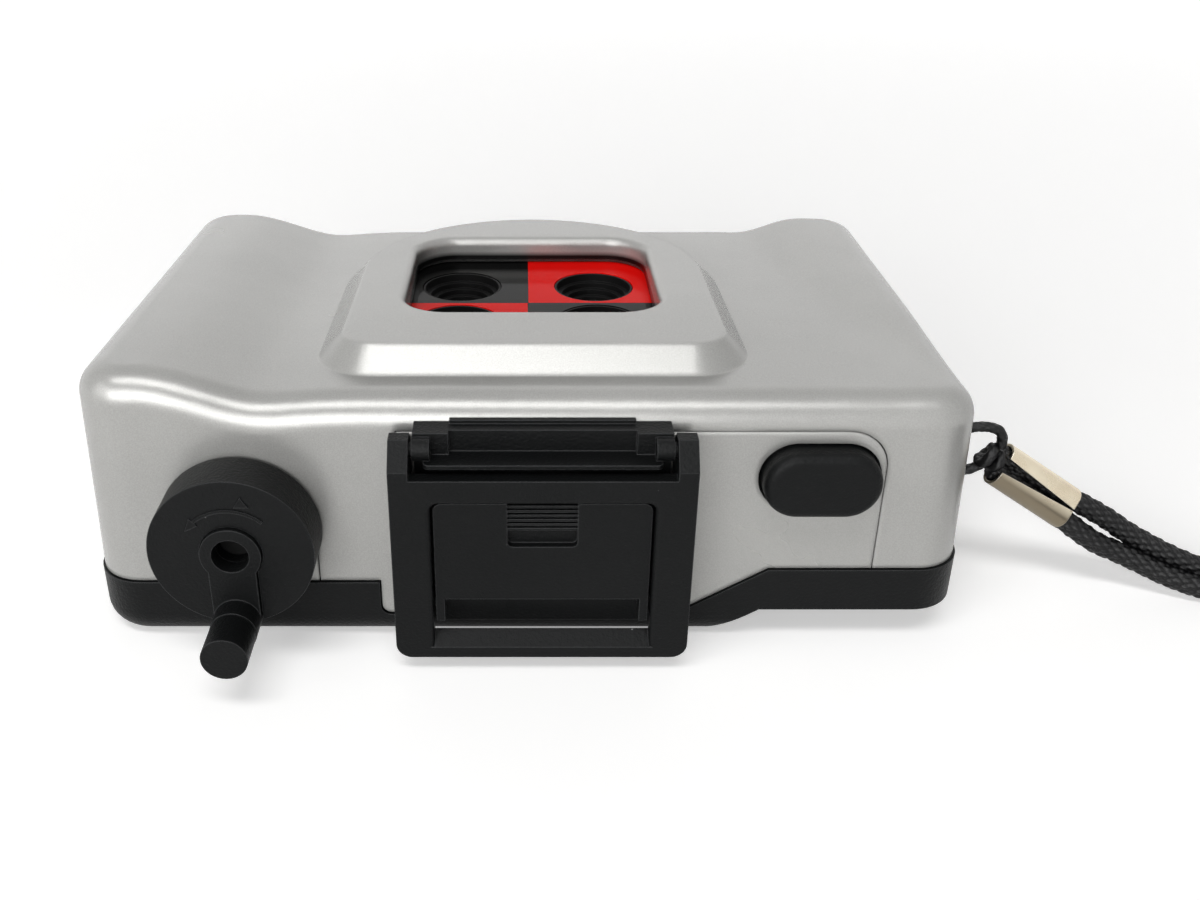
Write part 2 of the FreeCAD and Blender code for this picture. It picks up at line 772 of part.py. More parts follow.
def front_shell():
    lift = size("front_level") - size("parting_right")
    full, tall = size("body_width") / 2, size("front_level") + size("ridge_rise") * 2
    grow = size("end_taper") / lift
    low_half = full + grow * size("parting_right")
    high_half = full - grow * (tall - size("parting_right"))
    corner = size("corner_radius")
    rims = [plan(low_half, top, base, corner, 0), plan(high_half, top, base, corner, tall)]
    body = Part.makeLoft(rims, True, True)
    columns, rows = int(size("front_columns")), int(size("front_rows"))
    reach, over = full + size("front_margin"), size("front_margin")
    grid = []
    for i in range(columns + 1):
        x = -reach + 2 * reach * i / columns
        line = [top - over + (base - top + 2 * over) * j / rows for j in range(rows + 1)]
        grid.append([Vector(x, y, front_height(x, y)) for y in line])
    front = Part.BSplineSurface()
    front.interpolate(grid)
    above = front.toShape().extrude(Vector(0, 0, tall))
    body = body.cut(above)
    rim = [e for e in body.Edges if e.CenterOfMass.z > size("front_level") * 0.8 and not upright(e)]
    rounded_body = body.makeFillet(size("edge_round"), rim)
    print("front edge rounded", rounded_body.isValid(), len(rim))
    body = rounded_body
    rise, slant, root = size("boss_rise"), size("boss_slant"), size("boss_root")
    flare = root * slant / rise
    boss = tilted(Part.makeLoft([surround(-flare, -root), surround(slant, rise)], True, True))
    body = body.fuse(boss).removeSplitter()
    wall = size("shell_wall")
    inner = rounded_prism(number("inside_half"), top + wall, base - wall, corner - wall, -wall, tall)
    slab = Part.makeBox(full * 3, full * 2, tall * 2, Vector(-full * 1.5, -full, -tall * 2))
    body = body.cut(inner.common(tilted(slab, -wall)))
    low, high = "parting_left - front_level", "front_level + ridge_rise * 2"
    under = [("half * 2", low), ("-half * 2", low)]
    body = body.cut(prism(parting[::-1] + under[::-1], "top * 2", "base * 2"))
    strip = prism(tongue_strip, "top", "top + shell_wall")
    left, foot = -size("tongue_left"), size("tongue_level")
    corner = [e for e in strip.Edges if close(e.CenterOfMass.x, left) and close(e.CenterOfMass.z, foot)]
    body = body.fuse(strip.makeFillet(size("tongue_corner"), corner))

    # Window over the chequered plate, its lip eased, and the recess that seats the plate.
    ease = size("window_lip")
    window = rounded_plan("window_x", "window_width", "window_start", "window_height", "window_corner")
    sill = Part.Face(window(0, 0)).extrude(Vector(0, 0, tall))
    body = body.cut(sill)
    lip = [e for e in body.Edges if on_lip(e)]
    eased = body.makeFillet(ease, lip)
    print("window lip", eased.isValid(), len(lip))
    body = eased
    seat = [
        ("window_x - window_width / 2 - plate_border - fit_gap", "plate_near - fit_gap", "plate_level"),
        (
            "window_x + window_width / 2 + plate_border + fit_gap",
            "plate_far + fit_gap",
            "plate_top + fit_gap",
        ),
    ]
    tools = [box_between(*seat)]

    # Openings in the near wall for the top panel and the rewind insert.
    opening = prism(panel_outline("fit_gap"), "top - shell_wall", "top + shell_wall")
    right, high = size("panel_right") + size("fit_gap"), size("panel_level") + size("fit_gap")
    corner = [
        e for e in opening.Edges if close(e.CenterOfMass.x, right) and close(e.CenterOfMass.z, high)
    ]
    tools.append(opening.makeFillet(size("panel_corner") + size("fit_gap"), corner))
    tab = "tab_radius + fit_gap"
    tools.append(
        box_between(
            ("rewind_axis - tab_radius - fit_gap", "top - shell_wall", "0"),
            ("rewind_axis + tab_radius + fit_gap", "top + shell_wall", "rewind_level"),
        )
    )
    spot = ("rewind_axis", "top - shell_wall", "rewind_level")
    tools.append(rod_between("Y", spot, tab, "shell_wall * 2"))
    # Room for the film cassette under the ridge.
    spot = ("rewind_axis", "chamber_top - frame_wall", "rewind_level")
    tools.append(
        rod_between("Y", spot, "cassette_radius + play", "chamber_base - chamber_top + frame_wall * 2")
    )
    # Slot for the latch's tab, the counter's window and the rewind release.
    tab_low = "latch_level - latch_tab_height / 2 - play"
    tools.append(
        box_between(
            ("-half * 2", "top + latch_start + latch_tab_start - play", tab_low),
            ("-inside_half + play", "top + latch_start + latch_tab_start + latch_tab + latch_travel + play",
             "latch_level + latch_tab_height / 2 + play"),
        )
    )
    spot = ("dial_x", "base - shell_wall * 2", "dial_level + dial_numbers")
    tools.append(rod_between("Y", spot, "dial_window", "shell_wall * 3"))
    spot = ("release_x", "base - shell_wall * 2", "release_level")
    tools.append(rod_between("Y", spot, "release_radius + pocket_slip", "shell_wall * 3"))
    for tool in tools:
        body = body.cut(tool)

    # Posts for the frame's and the board's screws, hanging from the ceiling.
    ceiling = tilted(
        Part.makeBox(full * 3, full * 2, tall * 2, Vector(-full * 1.5, -full, -tall * 2)), -wall / 2
    )
    hanging = (
        (frame_posts, "bulkhead_top", "screw_reach + play"),
        (board_posts, "board_top", "screw_hold + play"),
    )
    for spots, floor, reach in hanging:
        for x, y in spots:
            post = rod_between("Z", (x, y, floor), "post_radius", "front_level - (" + floor + ")")
            body = body.fuse(post.common(ceiling))
            body = body.cut(rod_between("Z", (x, y, floor), "screw_radius", reach))

    # Strap bar in a small pocket in the right end.
    housing = (
        (
            "inside_half - strap_pocket_deep",
            f"{strap_near} - strap_pocket_wall",
            f"{strap_low} - strap_pocket_wall",
        ),
        (
            "inside_half + shell_wall / 2",
            f"{strap_far} + strap_pocket_wall",
            f"{strap_high} + strap_pocket_wall",
        ),
    )
    body = body.fuse(box_between(*housing))
    hollow = (
        ("inside_half - strap_pocket_deep + strap_pocket_wall", strap_near, strap_low),
        ("half * 2", strap_far, strap_high),
    )
    body = body.cut(box_between(*hollow))
    bar = (
        (
            "inside_half + strap_bar_in",
            f"{strap_near} - strap_pocket_wall",
            "strap_level - strap_bar / 2",
        ),
        ("inside_half + shell_wall", f"{strap_far} + strap_pocket_wall", "strap_level + strap_bar / 2"),
    )
    body = body.fuse(box_between(*bar))

    # Two hinge knuckles at the right end.
    for start in ("hinge_start", "hinge_start + hinge_knuckle + hinge_middle"):
        at = ("hinge_x", f"top + {start}", "parting_right")
        knuckle = rod_between("Y", at, "hinge_radius", "hinge_knuckle")
        web = box_between(
            ("half - shell_wall / 2", f"top + {start}", "parting_right"),
            ("hinge_x", f"top + {start} + hinge_knuckle", "parting_right + hinge_radius"),
        )
        body = body.fuse(knuckle.fuse(web))
        body = body.cut(rod_between("Y", at, "hinge_pin + slip", "hinge_knuckle"))
    return body.removeSplitter()


def upright(edge):
    """Whether an edge runs up a corner of the body, not round its rim."""
    ends = [v.Point for v in edge.Vertexes]
    if len(ends) < 2:
        return False
    run = ends[1] - ends[0]
    return abs(run.z) > size("front_level") / 2


def on_lip(edge):
    """Whether an edge is on the window's rim at the top of the surround."""
    x, y, z = edge.CenterOfMass
    reach_x = size("window_width") / 2 + size("fit_gap")
    middle = top + size("window_start") + size("window_height") / 2
    reach_y = size("window_height") / 2 + size("fit_gap")
    inside = abs(x - size("window_x")) < reach_x and abs(y - middle) < reach_y
    return inside and z > size("front_level") and not upright_short(edge)


def upright_short(edge):
    ends = [v.Point for v in edge.Vertexes]
    run = ends[-1] - ends[0]
    return abs(run.z) > 2 * math.hypot(run.x, run.y)


def rounded_plan(centre, width, start, height, corner):
    """Maker of a rounded rectangle's wire in plan from aliases."""

    def wire(grow, level):
        x, half = size(centre), size(width) / 2 + grow
        near, far = top + size(start) - grow, top + size(start) + size(height) + grow
        shape = plan(half, near, far, size(corner) + grow, level)
        shape.translate(Vector(x, 0, 0))
        return shape

    return wire


def panel_outline(grow):
    """Top panel's outline in X and Z: a tongue at the left, a ramp, then the grip's part."""
    return [
        (f"-panel_left - ({grow})", f"tongue_level - ({grow})"),
        (f"ramp_low + ({grow})", f"tongue_level - ({grow})"),
        (f"ramp_high + ({grow})", f"parting_right - ({grow})"),
        (f"panel_right + ({grow})", f"parting_right - ({grow})"),
        (f"panel_right + ({grow})", f"panel_level + ({grow})"),
        (f"-panel_left - ({grow})", f"panel_level + ({grow})"),
    ]


shell = feature("front_shell", front_shell())
shell.Placement = FreeCAD.Placement()
node("front_shell", shell)

# Top panel with the release button's opening, lapped behind the shell's wall.
panel = plate("top_panel_face", "XZ", [panel_outline("0")], "top + panel_wall", "panel_wall")
right, high = number("panel_right"), number("panel_level")
rounded(
    panel,
    "top_panel_corner",
    "panel_corner",
    lambda e: close(e.CenterOfMass.x, right) and close(e.CenterOfMass.z, high),
)
lap = block(
    "top_panel_lap",
    ("-panel_left - panel_lap", "top + shell_wall", "parting_right + play"),
    ("panel_right + panel_lap", "top + shell_wall + panel_lap_wall", "panel_level + panel_lap"),
)
button_left = "button_x - button_width / 2"
button_right = "button_x + button_width / 2"
button_low = "button_level - button_depth / 2"
button_high = "button_level + button_depth / 2"
edge = "(button_flange + play)"
hole = plate(
    "top_panel_hole",
    "XZ",
    [
        rectangle(
            f"{button_left} - play",
            f"{button_low} - play",
            f"{button_right} + play",
            f"{button_high} + play",
        )
    ],
    "top + panel_wall * 2",
    "panel_wall * 3",
)
rounded(hole, "top_panel_hole_corners", "button_corner + play", lambda e: along(e, 1))
room = block(
    "top_panel_room",
    (f"{button_left} - {edge}", "top + shell_wall", f"{button_low} - {edge}"),
    (f"{button_right} + {edge}", "top + shell_wall + panel_lap_wall * 2", f"{button_high} + {edge}"),
)
node("top_panel", cut("top_panel", join("top_panel_solid", [panel, lap]), [hole, room]))

# Insert round the rewind shaft.
tab_block = block(
    "rewind_tab_block",
    ("rewind_axis - tab_radius", "top", "parting_left"),
    ("rewind_axis + tab_radius", "top + shell_wall", "rewind_level"),
)
tab_round = rod(
    "rewind_tab_round", "Y", ("rewind_axis", "top", "rewind_level"), "tab_radius", "shell_wall"
)
tab_lap = rod(
    "rewind_tab_lap",
    "Y",
    ("rewind_axis", "top + shell_wall", "rewind_level"),
    "tab_radius + panel_lap",
    "panel_lap_wall",
)
tab_keep = block(
    "rewind_tab_keep",
    ("rewind_axis - tab_radius * 2", "top", "parting_left"),
    ("rewind_axis + tab_radius * 2", "top + shell_wall * 2", "front_level"),
)
tab_bore = rod(
    "rewind_tab_bore", "Y", (
        "rewind_axis", "top", "rewind_level"
    ), "rewind_shaft + pocket_slip", "shell_wall * 2"
)
tab_solid = common(
    "rewind_tab_solid", [join("rewind_tab_all", [tab_block, tab_round, tab_lap]), tab_keep]
)
node("rewind_tab", cut("rewind_tab", tab_solid, [tab_bore]))

# Inner frame: two long walls, the gate plate with its film gate, a partition and a bulkhead.
frame_parts = [
    block(
        "frame_near_left",
        ("-frame_reach", "wall_start", "frame_low"),
        ("ramp_low", "chamber_top", "bulkhead_top"),
    ),
    block(
        "frame_near_right",
        ("ramp_low", "wall_start", "thumb_level + door_wall + fit_gap"),
        ("frame_reach", "chamber_top", "bulkhead_top"),
    ),
    block(
        "frame_far",
        ("-frame_reach", "chamber_base", "frame_low"),
        ("frame_reach", "wall_end", "bulkhead_top"),
    ),
    block(
        "frame_gate",
        ("-partition_x", "wall_start", "gate_level"),
        ("gate_right", "wall_end", "gate_level + gate_wall"),
    ),
    block(
        "frame_partition",
        ("-partition_x", "wall_start", "gate_level"),
        ("-partition_x + partition_wall", "wall_end", "bulkhead_top"),
    ),
    block(
        "frame_bulkhead",
        ("-partition_x", "wall_start", "bulkhead_level"),
        ("bulkhead_right", "wall_end", "bulkhead_top"),
    ),
    block(
        "frame_lever_tab",
        ("format_x", "wall_start", "bulkhead_level"),
        ("lever_x + lever_tab", "lever_y_at + lever_tab", "bulkhead_top"),
    ),
    block(
        "frame_stem_tab",
        ("stem_x - stem_tab", "wall_start", "bulkhead_level"),
        ("stem_x + stem_tab", "chamber_top", "button_level + stem_tab"),
    ),
    rod(
        "frame_dial_post",
        "Y",
        ("dial_x", "wall_end", "dial_level"),
        "wheel_shaft",
        "dial_wall + play * 3",
    ),
]
for side, near, far in (("near", "wall_start", "chamber_top"), ("far", "chamber_base", "wall_end")):
    high = block(
        f"frame_cassette_{side}",
        ("-frame_reach", near, "bulkhead_level"),
        ("-partition_x + partition_wall", far, "cassette_high"),
    )
    frame_parts.append(high)
frame_holes = [
    block(
        "frame_film_gate",
        ("format_x - format_width / 2", "format_y - format_height / 2", "gate_level - play"),
        ("format_x + format_width / 2", "format_y + format_height / 2", "gate_level + gate_wall + play"),
    ),
    block(
        "frame_light_way",
        ("format_x - light_way_x", "format_y - light_way_y", "bulkhead_level - play"),
        ("format_x + light_way_x", "format_y + light_way_y", "bulkhead_top + play"),
    ),
]
bores = [
    ("rewind", "rewind_axis", "wall_start", "rewind_level", "rewind_shaft + pocket_slip"),
    ("spool_near", "wheel_x", "wall_start", "wheel_level", "wheel_shaft + slip"),
    ("spool_far", "wheel_x", "chamber_base", "wheel_level", "wheel_shaft + slip"),
    ("sprocket_near", "sprocket_x", "wall_start", "sprocket_level", "wheel_shaft + slip"),
    ("sprocket_far", "sprocket_x", "chamber_base", "sprocket_level", "wheel_shaft + slip"),
    ("stem", "stem_x", "wall_start", "button_level", "stem_radius + pocket_slip"),
]
for name, x, y, z, radius in bores:
    frame_holes.append(rod(f"frame_bore_{name}", "Y", (x, y, z), radius, "frame_wall"))
for side, way in (("near", "-1"), ("far", "1")):
    middle = f"format_y + ({way}) * perforation_offset"
    notch = "sprocket_rim / 2 + play"
    frame_holes.append(
        block(
            f"frame_notch_{side}",
            (
                "sprocket_x - sprocket_radius - tooth_height - play",
                f"{middle} - {notch}",
                "gate_level - play",
            ),
            ("gate_right + play", f"{middle} + {notch}", "gate_level + gate_wall + play"),
        )
    )
for i, (x, y) in enumerate(frame_posts):
    frame_holes.append(
        rod(f"frame_screw_hole_{i}", "Z", (x, y, "bulkhead_level"), "screw_radius", "bulkhead_wall")
    )
frame_holes.append(
    rod(
        "frame_lever_hole", "Z", ("lever_x", "lever_y_at", "bulkhead_level"), "lever_pin", "bulkhead_wall"
    )
)
node("main_frame", cut("main_frame", join("main_frame_solid", frame_parts), frame_holes))

# Baffle between the film gate and the lenses, split into four by a cross of thin walls.
def wedge(name, grow):
    item = doc.addObject("Part::Wedge", name)
    low, high = "gate_level + gate_wall", "baffle_top"
    rules = {
        "Xmin": f"-format_width / 2 + baffle_inset - ({grow})",
        "Xmax": f"format_width / 2 - baffle_inset + ({grow})",
        "Zmin": f"-format_height / 2 + baffle_inset_y - ({grow})",
        "Zmax": f"format_height / 2 - baffle_inset_y + ({grow})",
        "X2min": f"-baffle_half_x - ({grow})",
        "X2max": f"baffle_half_x + ({grow})",
        "Z2min": f"-baffle_half_y - ({grow})",
        "Z2max": f"baffle_half_y + ({grow})",
        "Ymin": "0",
        "Ymax": f"{high} - ({low})",
    }
    for prop, rule in rules.items():
        bind(item, prop, rule)
    item.Placement = FreeCAD.Placement(Vector(), FreeCAD.Rotation(Vector(1, 0, 0), 90))
    settle(item, ("format_x", "format_y", low))
    return item


baffle_tube = cut(
    "light_baffle_tube", wedge("light_baffle_outer", "baffle_wall"), [wedge("light_baffle_inner", "0")]
)
cross = [
    block(
        "light_baffle_wall_x",
        (
            "format_x - divider_wall / 2",
            "format_y - format_height / 2",
            "gate_level + gate_wall + divider_up",
        ),
        ("format_x + divider_wall / 2", "format_y + format_height / 2", "baffle_top"),
    ),
    block(
        "light_baffle_wall_y",
        (
            "format_x - format_width / 2",
            "format_y - divider_wall / 2",
            "gate_level + gate_wall + divider_up",
        ),
        ("format_x + format_width / 2", "format_y + divider_wall / 2", "baffle_top"),
    ),
]
cross_in = common(
    "light_baffle_cross",
    [join("light_baffle_walls", cross), wedge("light_baffle_room", "baffle_wall / 2")],
)
node("light_baffle", join("light_baffle", [baffle_tube, cross_in]))

# Lens board with its four barrels and lenses, the shutter plate and the shutter disc.
lenses = [
    (f"format_x + ({a}) * lens_pitch_x / 2", f"format_y + ({b}) * lens_pitch_y / 2")
    for a, b in (("-1", "-1"), ("1", "-1"), ("-1", "1"), ("1", "1"))
]
board_face = plate(
    "lens_board_face",
    "XY",
    [
        rectangle(
            "board_x - board_half_x", "format_y - board_half_y", "board_x + board_half_x", "format_y + board_half_y"
        )
    ]
    + [(x, y, "barrel_radius + slip") for x, y in lenses]
    + [(x, y, "screw_radius") for x, y in board_posts],
    "board_level",
    "board_wall",
)
feet = [
    rod(
        f"lens_board_foot_{i}",
        "Z",
        (
            f"format_x + ({a}) * foot_x",
            f"format_y + ({b}) * foot_y",
            "shutter_plate_level + shutter_plate_wall",
        ),
        "foot_radius",
        "board_level - shutter_plate_level - shutter_plate_wall",
    )
    for i, (a, b) in enumerate((("-1", "-1"), ("1", "-1"), ("-1", "1"), ("1", "1")))
]
node("lens_board", join("lens_board", [board_face] + feet))

plate_left = "window_x - window_width / 2 - plate_border"
plate_right = "window_x + window_width / 2 + plate_border"
checker = plate(
    "checker_plate",
    "XY",
    [
        rectangle(plate_left, "plate_near", plate_right, "plate_far")
    ] + [(x, y, "lens_hole") for x, y in lenses],
    "plate_level",
    "plate_wall",
)
squares = [
    (
        plate_left + " + inlay_gap",
        "plate_near + inlay_gap",
        "format_x - inlay_gap",
        "format_y - inlay_gap",
    ),
    (
        "format_x + inlay_gap",
        "format_y + inlay_gap",
        plate_right + " - inlay_gap",
        "plate_far - inlay_gap",
    ),
]
pocket(
    checker, "checker_plate_squares", "XY", [rectangle(*s) for s in squares], "plate_top", "inlay_wall"
)
node("checker_plate", checker)
inlays = []
for i, (x1, y1, x2, y2) in enumerate(squares):
    lens = lenses[0 if i == 0 else 3]
    inner = rectangle(f"{x1} + inlay_gap", f"{y1} + inlay_gap", f"{x2} - inlay_gap", f"{y2} - inlay_gap")
    inlays.append(
        plate(
            f"checker_inlay_{i}",
            "XY",
            [inner, (*lens, "lens_hole")],
            "plate_top - inlay_wall",
            "inlay_wall",
        )
    )
node("checker_inlay", join("checker_inlay", inlays))

for i, (x, y) in enumerate(lenses, start=1):
    name = f"lens_barrel_{i}"
    tube = rod(
        f"{name}_tube", "Z", (x, y, "barrel_low"), "barrel_radius", "plate_top - pocket_slip - barrel_low"
    )
    flange = rod(f"{name}_flange", "Z", (x, y, "barrel_low"), "barrel_flange", "board_level - barrel_low")
    steps = [
        rod(f"{name}_stop", "Z", (x, y, "barrel_low"), "stop_radius", "plate_wall * 4"),
        rod(f"{name}_seat", "Z", (x, y, "lens_seat"), "lens_radius", "plate_wall * 4"),
        rod(
            f"{name}_ring_1",
            "Z",
            (x, y, "board_level + ring_rise * 1"),
            "lens_radius + ring_step * 1",
            "plate_wall * 4",
        ),
        rod(
            f"{name}_ring_2",
            "Z",
            (x, y, "board_level + ring_rise * 2"),
            "lens_radius + ring_step * 2",
            "plate_wall * 4",
        ),
        rod(
            f"{name}_ring_3",
            "Z",
            (x, y, "board_level + ring_rise * 3"),
            "lens_radius + ring_step * 3",
            "plate_wall * 4",
        ),
    ]
    node(name, cut(name, join(f"{name}_solid", [tube, flange]), steps))
    ball = doc.addObject("Part::Sphere", f"lens_{i}_ball")
    bind(ball, "Radius", "lens_curve")
    rise = "lens_edge + lens_curve - sqrt(lens_curve * lens_curve - lens_radius * lens_radius)"
    settle(ball, (x, y, f"lens_seat + {rise} - lens_curve"))
    stem = rod(f"lens_{i}_edge", "Z", (x, y, "lens_seat"), "lens_radius", rise)
    node(f"lens_{i}", common(f"lens_{i}", [ball, stem]))

node(
    "shutter_plate",
    plate(
        "shutter_plate",
        "XY",
        [
            rectangle(
                "format_x - shutter_half_x", "format_y - shutter_half_y", "format_x + shutter_half_x", "format_y + shutter_half_y"
            ),
            ("format_x", "format_y", "pivot_radius"),
        ]
        + [(x, y, "stop_radius + ring_step") for x, y in lenses],
        "shutter_plate_level",
        "shutter_plate_wall",
    ),
)
centre = ("format_x", "format_y")
disc = rod("shutter_disc_blank", "Z", (*centre, "disc_level"), "disc_radius", "disc_wall")
ring = cut(
    "shutter_disc_ring",
    rod("shutter_disc_ring_outer", "Z", (*centre, "disc_level"), "slot_outer", "disc_wall"),
    [rod("shutter_disc_ring_inner", "Z", (*centre, "disc_level"), "slot_inner", "disc_wall")],
)
gap = block(
    "shutter_disc_gap",
    ("format_x - slot_inner", "format_y", "disc_level"),
    ("format_x + slot_inner / 2", "format_y + disc_radius", "disc_level + disc_wall"),
)
slot = common("shutter_disc_slot", [ring, gap])
disc_bore = rod("shutter_disc_bore", "Z", (*centre, "disc_level"), "pivot_radius + slip", "disc_wall")
node("shutter_disc", cut("shutter_disc", disc, [slot, disc_bore]))
pivot_low = "disc_level - play - pivot_head"
pivot = rod(
    "shutter_pivot_stem", "Z", (*centre, pivot_low), "pivot_radius", f"board_level - play - ({pivot_low})"
)
pivot_end = rod("shutter_pivot_head", "Z", (*centre, pivot_low), "pivot_radius * 2", "pivot_head")
node("shutter_pivot", join("shutter_pivot", [pivot, pivot_end]))

# Lever between the release button and the shutter, on its pin.
tip_x, tip_y = "lever_tip_x", "top + lever_tip_y"
lever_shape = [
    ("stem_x + stem_radius", "top + stem_end + play * 2"),
    ("stem_x + stem_radius", "top + stem_end + play * 2 + lever_half * 2"),
    ("lever_x + lever_half", "lever_y_at + lever_half * 1.5"),
    (f"{tip_x} + lever_half", f"{tip_y} + lever_half"),
    (f"{tip_x} - lever_half / 2", f"{tip_y} - lever_half / 2"),
    ("lever_x - lever_half", "lever_y_at - lever_half * 1.5"),
]
lever = plate("shutter_lever_arms", "XY", [lever_shape], "lever_level", "lever_wall")
hub = rod("shutter_lever_hub", "Z", ("lever_x", "lever_y_at", "bulkhead_top + pocket_slip"), "lever_hub",
          "lever_level + lever_wall - bulkhead_top - pocket_slip")
lever_bore = rod(
    "shutter_lever_bore",
    "Z",
    ("lever_x", "lever_y_at", "bulkhead_top"),
    "lever_pin + slip",
    "lever_wall * 3",
)
node("shutter_lever", cut("shutter_lever", join("shutter_lever_solid", [lever, hub]), [lever_bore]))
pin = rod("lever_pin_stem", "Z", ("lever_x", "lever_y_at", "bulkhead_level"), "lever_pin",
          "lever_level + lever_wall + play - bulkhead_level")
pin_head = rod(
    "lever_pin_head",
    "Z",
    ("lever_x", "lever_y_at", "lever_level + lever_wall + play"),
    "lever_hub",
    "pivot_head",
)
node("lever_pin", join("lever_pin", [pin, pin_head]))

# Release button: cap, flange behind the panel and a stem through the frame's tab.
cap = plate(
    "shutter_button_cap",
    "XZ",
    [rectangle(button_left, button_low, button_right, button_high)],
    "top + panel_wall",
    "panel_wall + button_proud",
)
rounded(cap, "shutter_button_sides", "button_corner", lambda e: along(e, 1))
crown = number("top - button_proud")
rounded(cap, "shutter_button_crown", "button_round", lambda e: close(e.BoundBox.YMax, crown))
flange = block(
    "shutter_button_flange",
    (f"{button_left} - button_flange", "top + panel_wall", f"{button_low} - button_flange"),
    (
        f"{button_right} + button_flange",
        "top + panel_wall + button_flange_wall",
        f"{button_high} + button_flange",
    ),
)
stem = rod(
    "shutter_button_stem",
    "Y",
    ("stem_x", "top + panel_wall", "button_level"),
    "stem_radius",
    "stem_end - panel_wall",
)
node("shutter_button", join("shutter_button", [cap, flange, stem]))


def spring(name, at, radius, wire, length):
    """Coil spring along Y, started at a point given by rules."""
    coil = doc.addObject("Part::Helix", name + "_line")
    bind(coil, "Radius", radius)
    bind(coil, "Height", length)
    bind(coil, "Pitch", f"({length}) / spring_turns")
    section = doc.addObject("Part::Circle", name + "_section")
    bind(section, "Radius", wire)
    section.Placement = FreeCAD.Placement(Vector(), FreeCAD.Rotation(Vector(1, 0, 0), 90))
    bind(section, "Placement.Base.x", radius)
    sweep = doc.addObject("Part::Sweep", name + "_wire")
    sweep.Sections = [section]
    sweep.Spine = (coil, ["Edge1"])
    sweep.Solid = True
    sweep.Frenet = True
    sweep.Placement = FreeCAD.Placement(Vector(), turns["Y"])
    settle(sweep, at)
    return sweep


spring_at = ("stem_x", "top + panel_wall + button_flange_wall + spring_wire", "button_level")
spring_length = "wall_start - top - panel_wall - button_flange_wall - spring_wire * 2"
node(
    "button_spring",
    spring("button_spring", spring_at, "stem_radius + spring_wire * 2.5", "spring_wire", spring_length),
)

# Folding finder: a base on the top panel, a hinged front frame and a hinged rear frame.
finder_left, finder_right = "finder_x - base_half", "finder_x + base_half"
lid_axis = ("lid_hinge_y", "lid_hinge_level")
sight_axis = ("sight_hinge_y", "sight_hinge_level")
ledge = plate(
    "finder_base_ledge",
    "XY",
    [rectangle("finder_x - ledge_half", "top - ledge_out", "finder_x + ledge_half", "top")],
    "block_low",
    "ledge_top - block_low",
)
front = number("top - ledge_out")
rounded(
    ledge,
    "finder_base_ledge_corners",
    "ledge_corner",
    lambda e: along(e, 2) and close(e.CenterOfMass.y, front),
)
base_parts = [
    block(
        "finder_base_plate",
        (finder_left, "top - base_wall", "base_low"),
        (finder_right, "top", "block_top"),
    ),
    block(
        "finder_base_crown",
        ("finder_x - block_crown", "top - block_crown_out", "block_low"),
        ("finder_x + block_crown", "top", "block_high"),
    ),
    ledge,
]
base_bores = []
sides = (("left", "-1"), ("right", "1"))
for side, way in sides:
    a, b = ("block_crown", "base_half") if way == "1" else ("base_half", "block_crown")
    base_parts.append(
        block(
            f"finder_base_block_{side}",
            (f"finder_x + ({way}) * {a}", "top - block_out", "block_low"),
            (f"finder_x + ({way}) * {b}", "top", "block_top"),
        )
    )
    at = (finder_left if way == "-1" else f"{finder_right} - knuckle_wall", *lid_axis)
    base_parts.append(rod(f"finder_base_knuckle_{side}", "X", at, "knuckle_radius", "knuckle_wall"))
    base_bores.append(rod(f"finder_base_lid_bore_{side}", "X", at, "lid_pin", "knuckle_wall"))
    inner, outer = "lid_window_half", "(lid_window_half + lug_wall)"
    a, b = (inner, outer) if way == "1" else (outer, inner)
    base_parts.append(
        block(
            f"finder_base_lug_{side}",
            (
                f"finder_x + ({way}) * {a}",
                "top - lid_face + lid_wall + play",
                "sight_hinge_level - lug_half",
            ),
            (f"finder_x + ({way}) * {b}", "top - base_wall / 2", "sight_hinge_level + lug_half"),
        )
    )
base_bores.append(
    rod("finder_base_sight_bore", "X", (finder_left, *sight_axis), "sight_pin", "base_half * 2")
)
node("finder_base", cut("finder_base", join("finder_base_solid", base_parts), base_bores))

lid_left, lid_right = "finder_x - lid_width / 2", "finder_x + lid_width / 2"
lid = plate(
    "finder_front_face", "XZ", [
        rectangle(lid_left, "lid_low", lid_right, "lid_high")
    ], "top - lid_face + lid_wall", "lid_wall"
)
low = number("lid_low")
rounded(lid, "finder_front_corners", "lid_corner", lambda e: along(e, 1) and close(e.CenterOfMass.z, low))
window = rectangle(
    "finder_x - lid_window_half", "lid_window_low", "finder_x + lid_window_half", "lid_window_high"
)
pocket(lid, "finder_front_window", "XZ", [window], "top - lid_face", "lid_wall")
middle, reach = number("finder_x"), number("lid_window_half")
high, face = number("lid_window_high"), number("top - lid_face")
rounded(
    lid,
    "finder_front_window_corners",
    "lid_window_corner",
    lambda e: along(e, 1) and close(
        abs(e.CenterOfMass.x - middle), reach
    ) and close(e.CenterOfMass.z, high),
)
low = number("lid_window_low")
rounded(
    lid,
    "finder_front_window_rim",
    "lid_window_rim",
    lambda e: close(e.CenterOfMass.y, face)
    and abs(e.CenterOfMass.x - middle) < reach + 0.1
    and low + 0.1 < e.CenterOfMass.z < high + 0.1,
)
sill_shape = [
    ("top - lid_face", "lid_low + play"),
    ("top - lid_face", "lid_window_low"),
    ("top - lid_face + lid_wall", "lid_window_low + sill_rise"),
    ("top - lid_face + lid_wall", "lid_low + play"),
]
sill = plate("finder_front_sill", "YZ", [sill_shape], "finder_x - lid_window_half", "lid_window_half * 2")
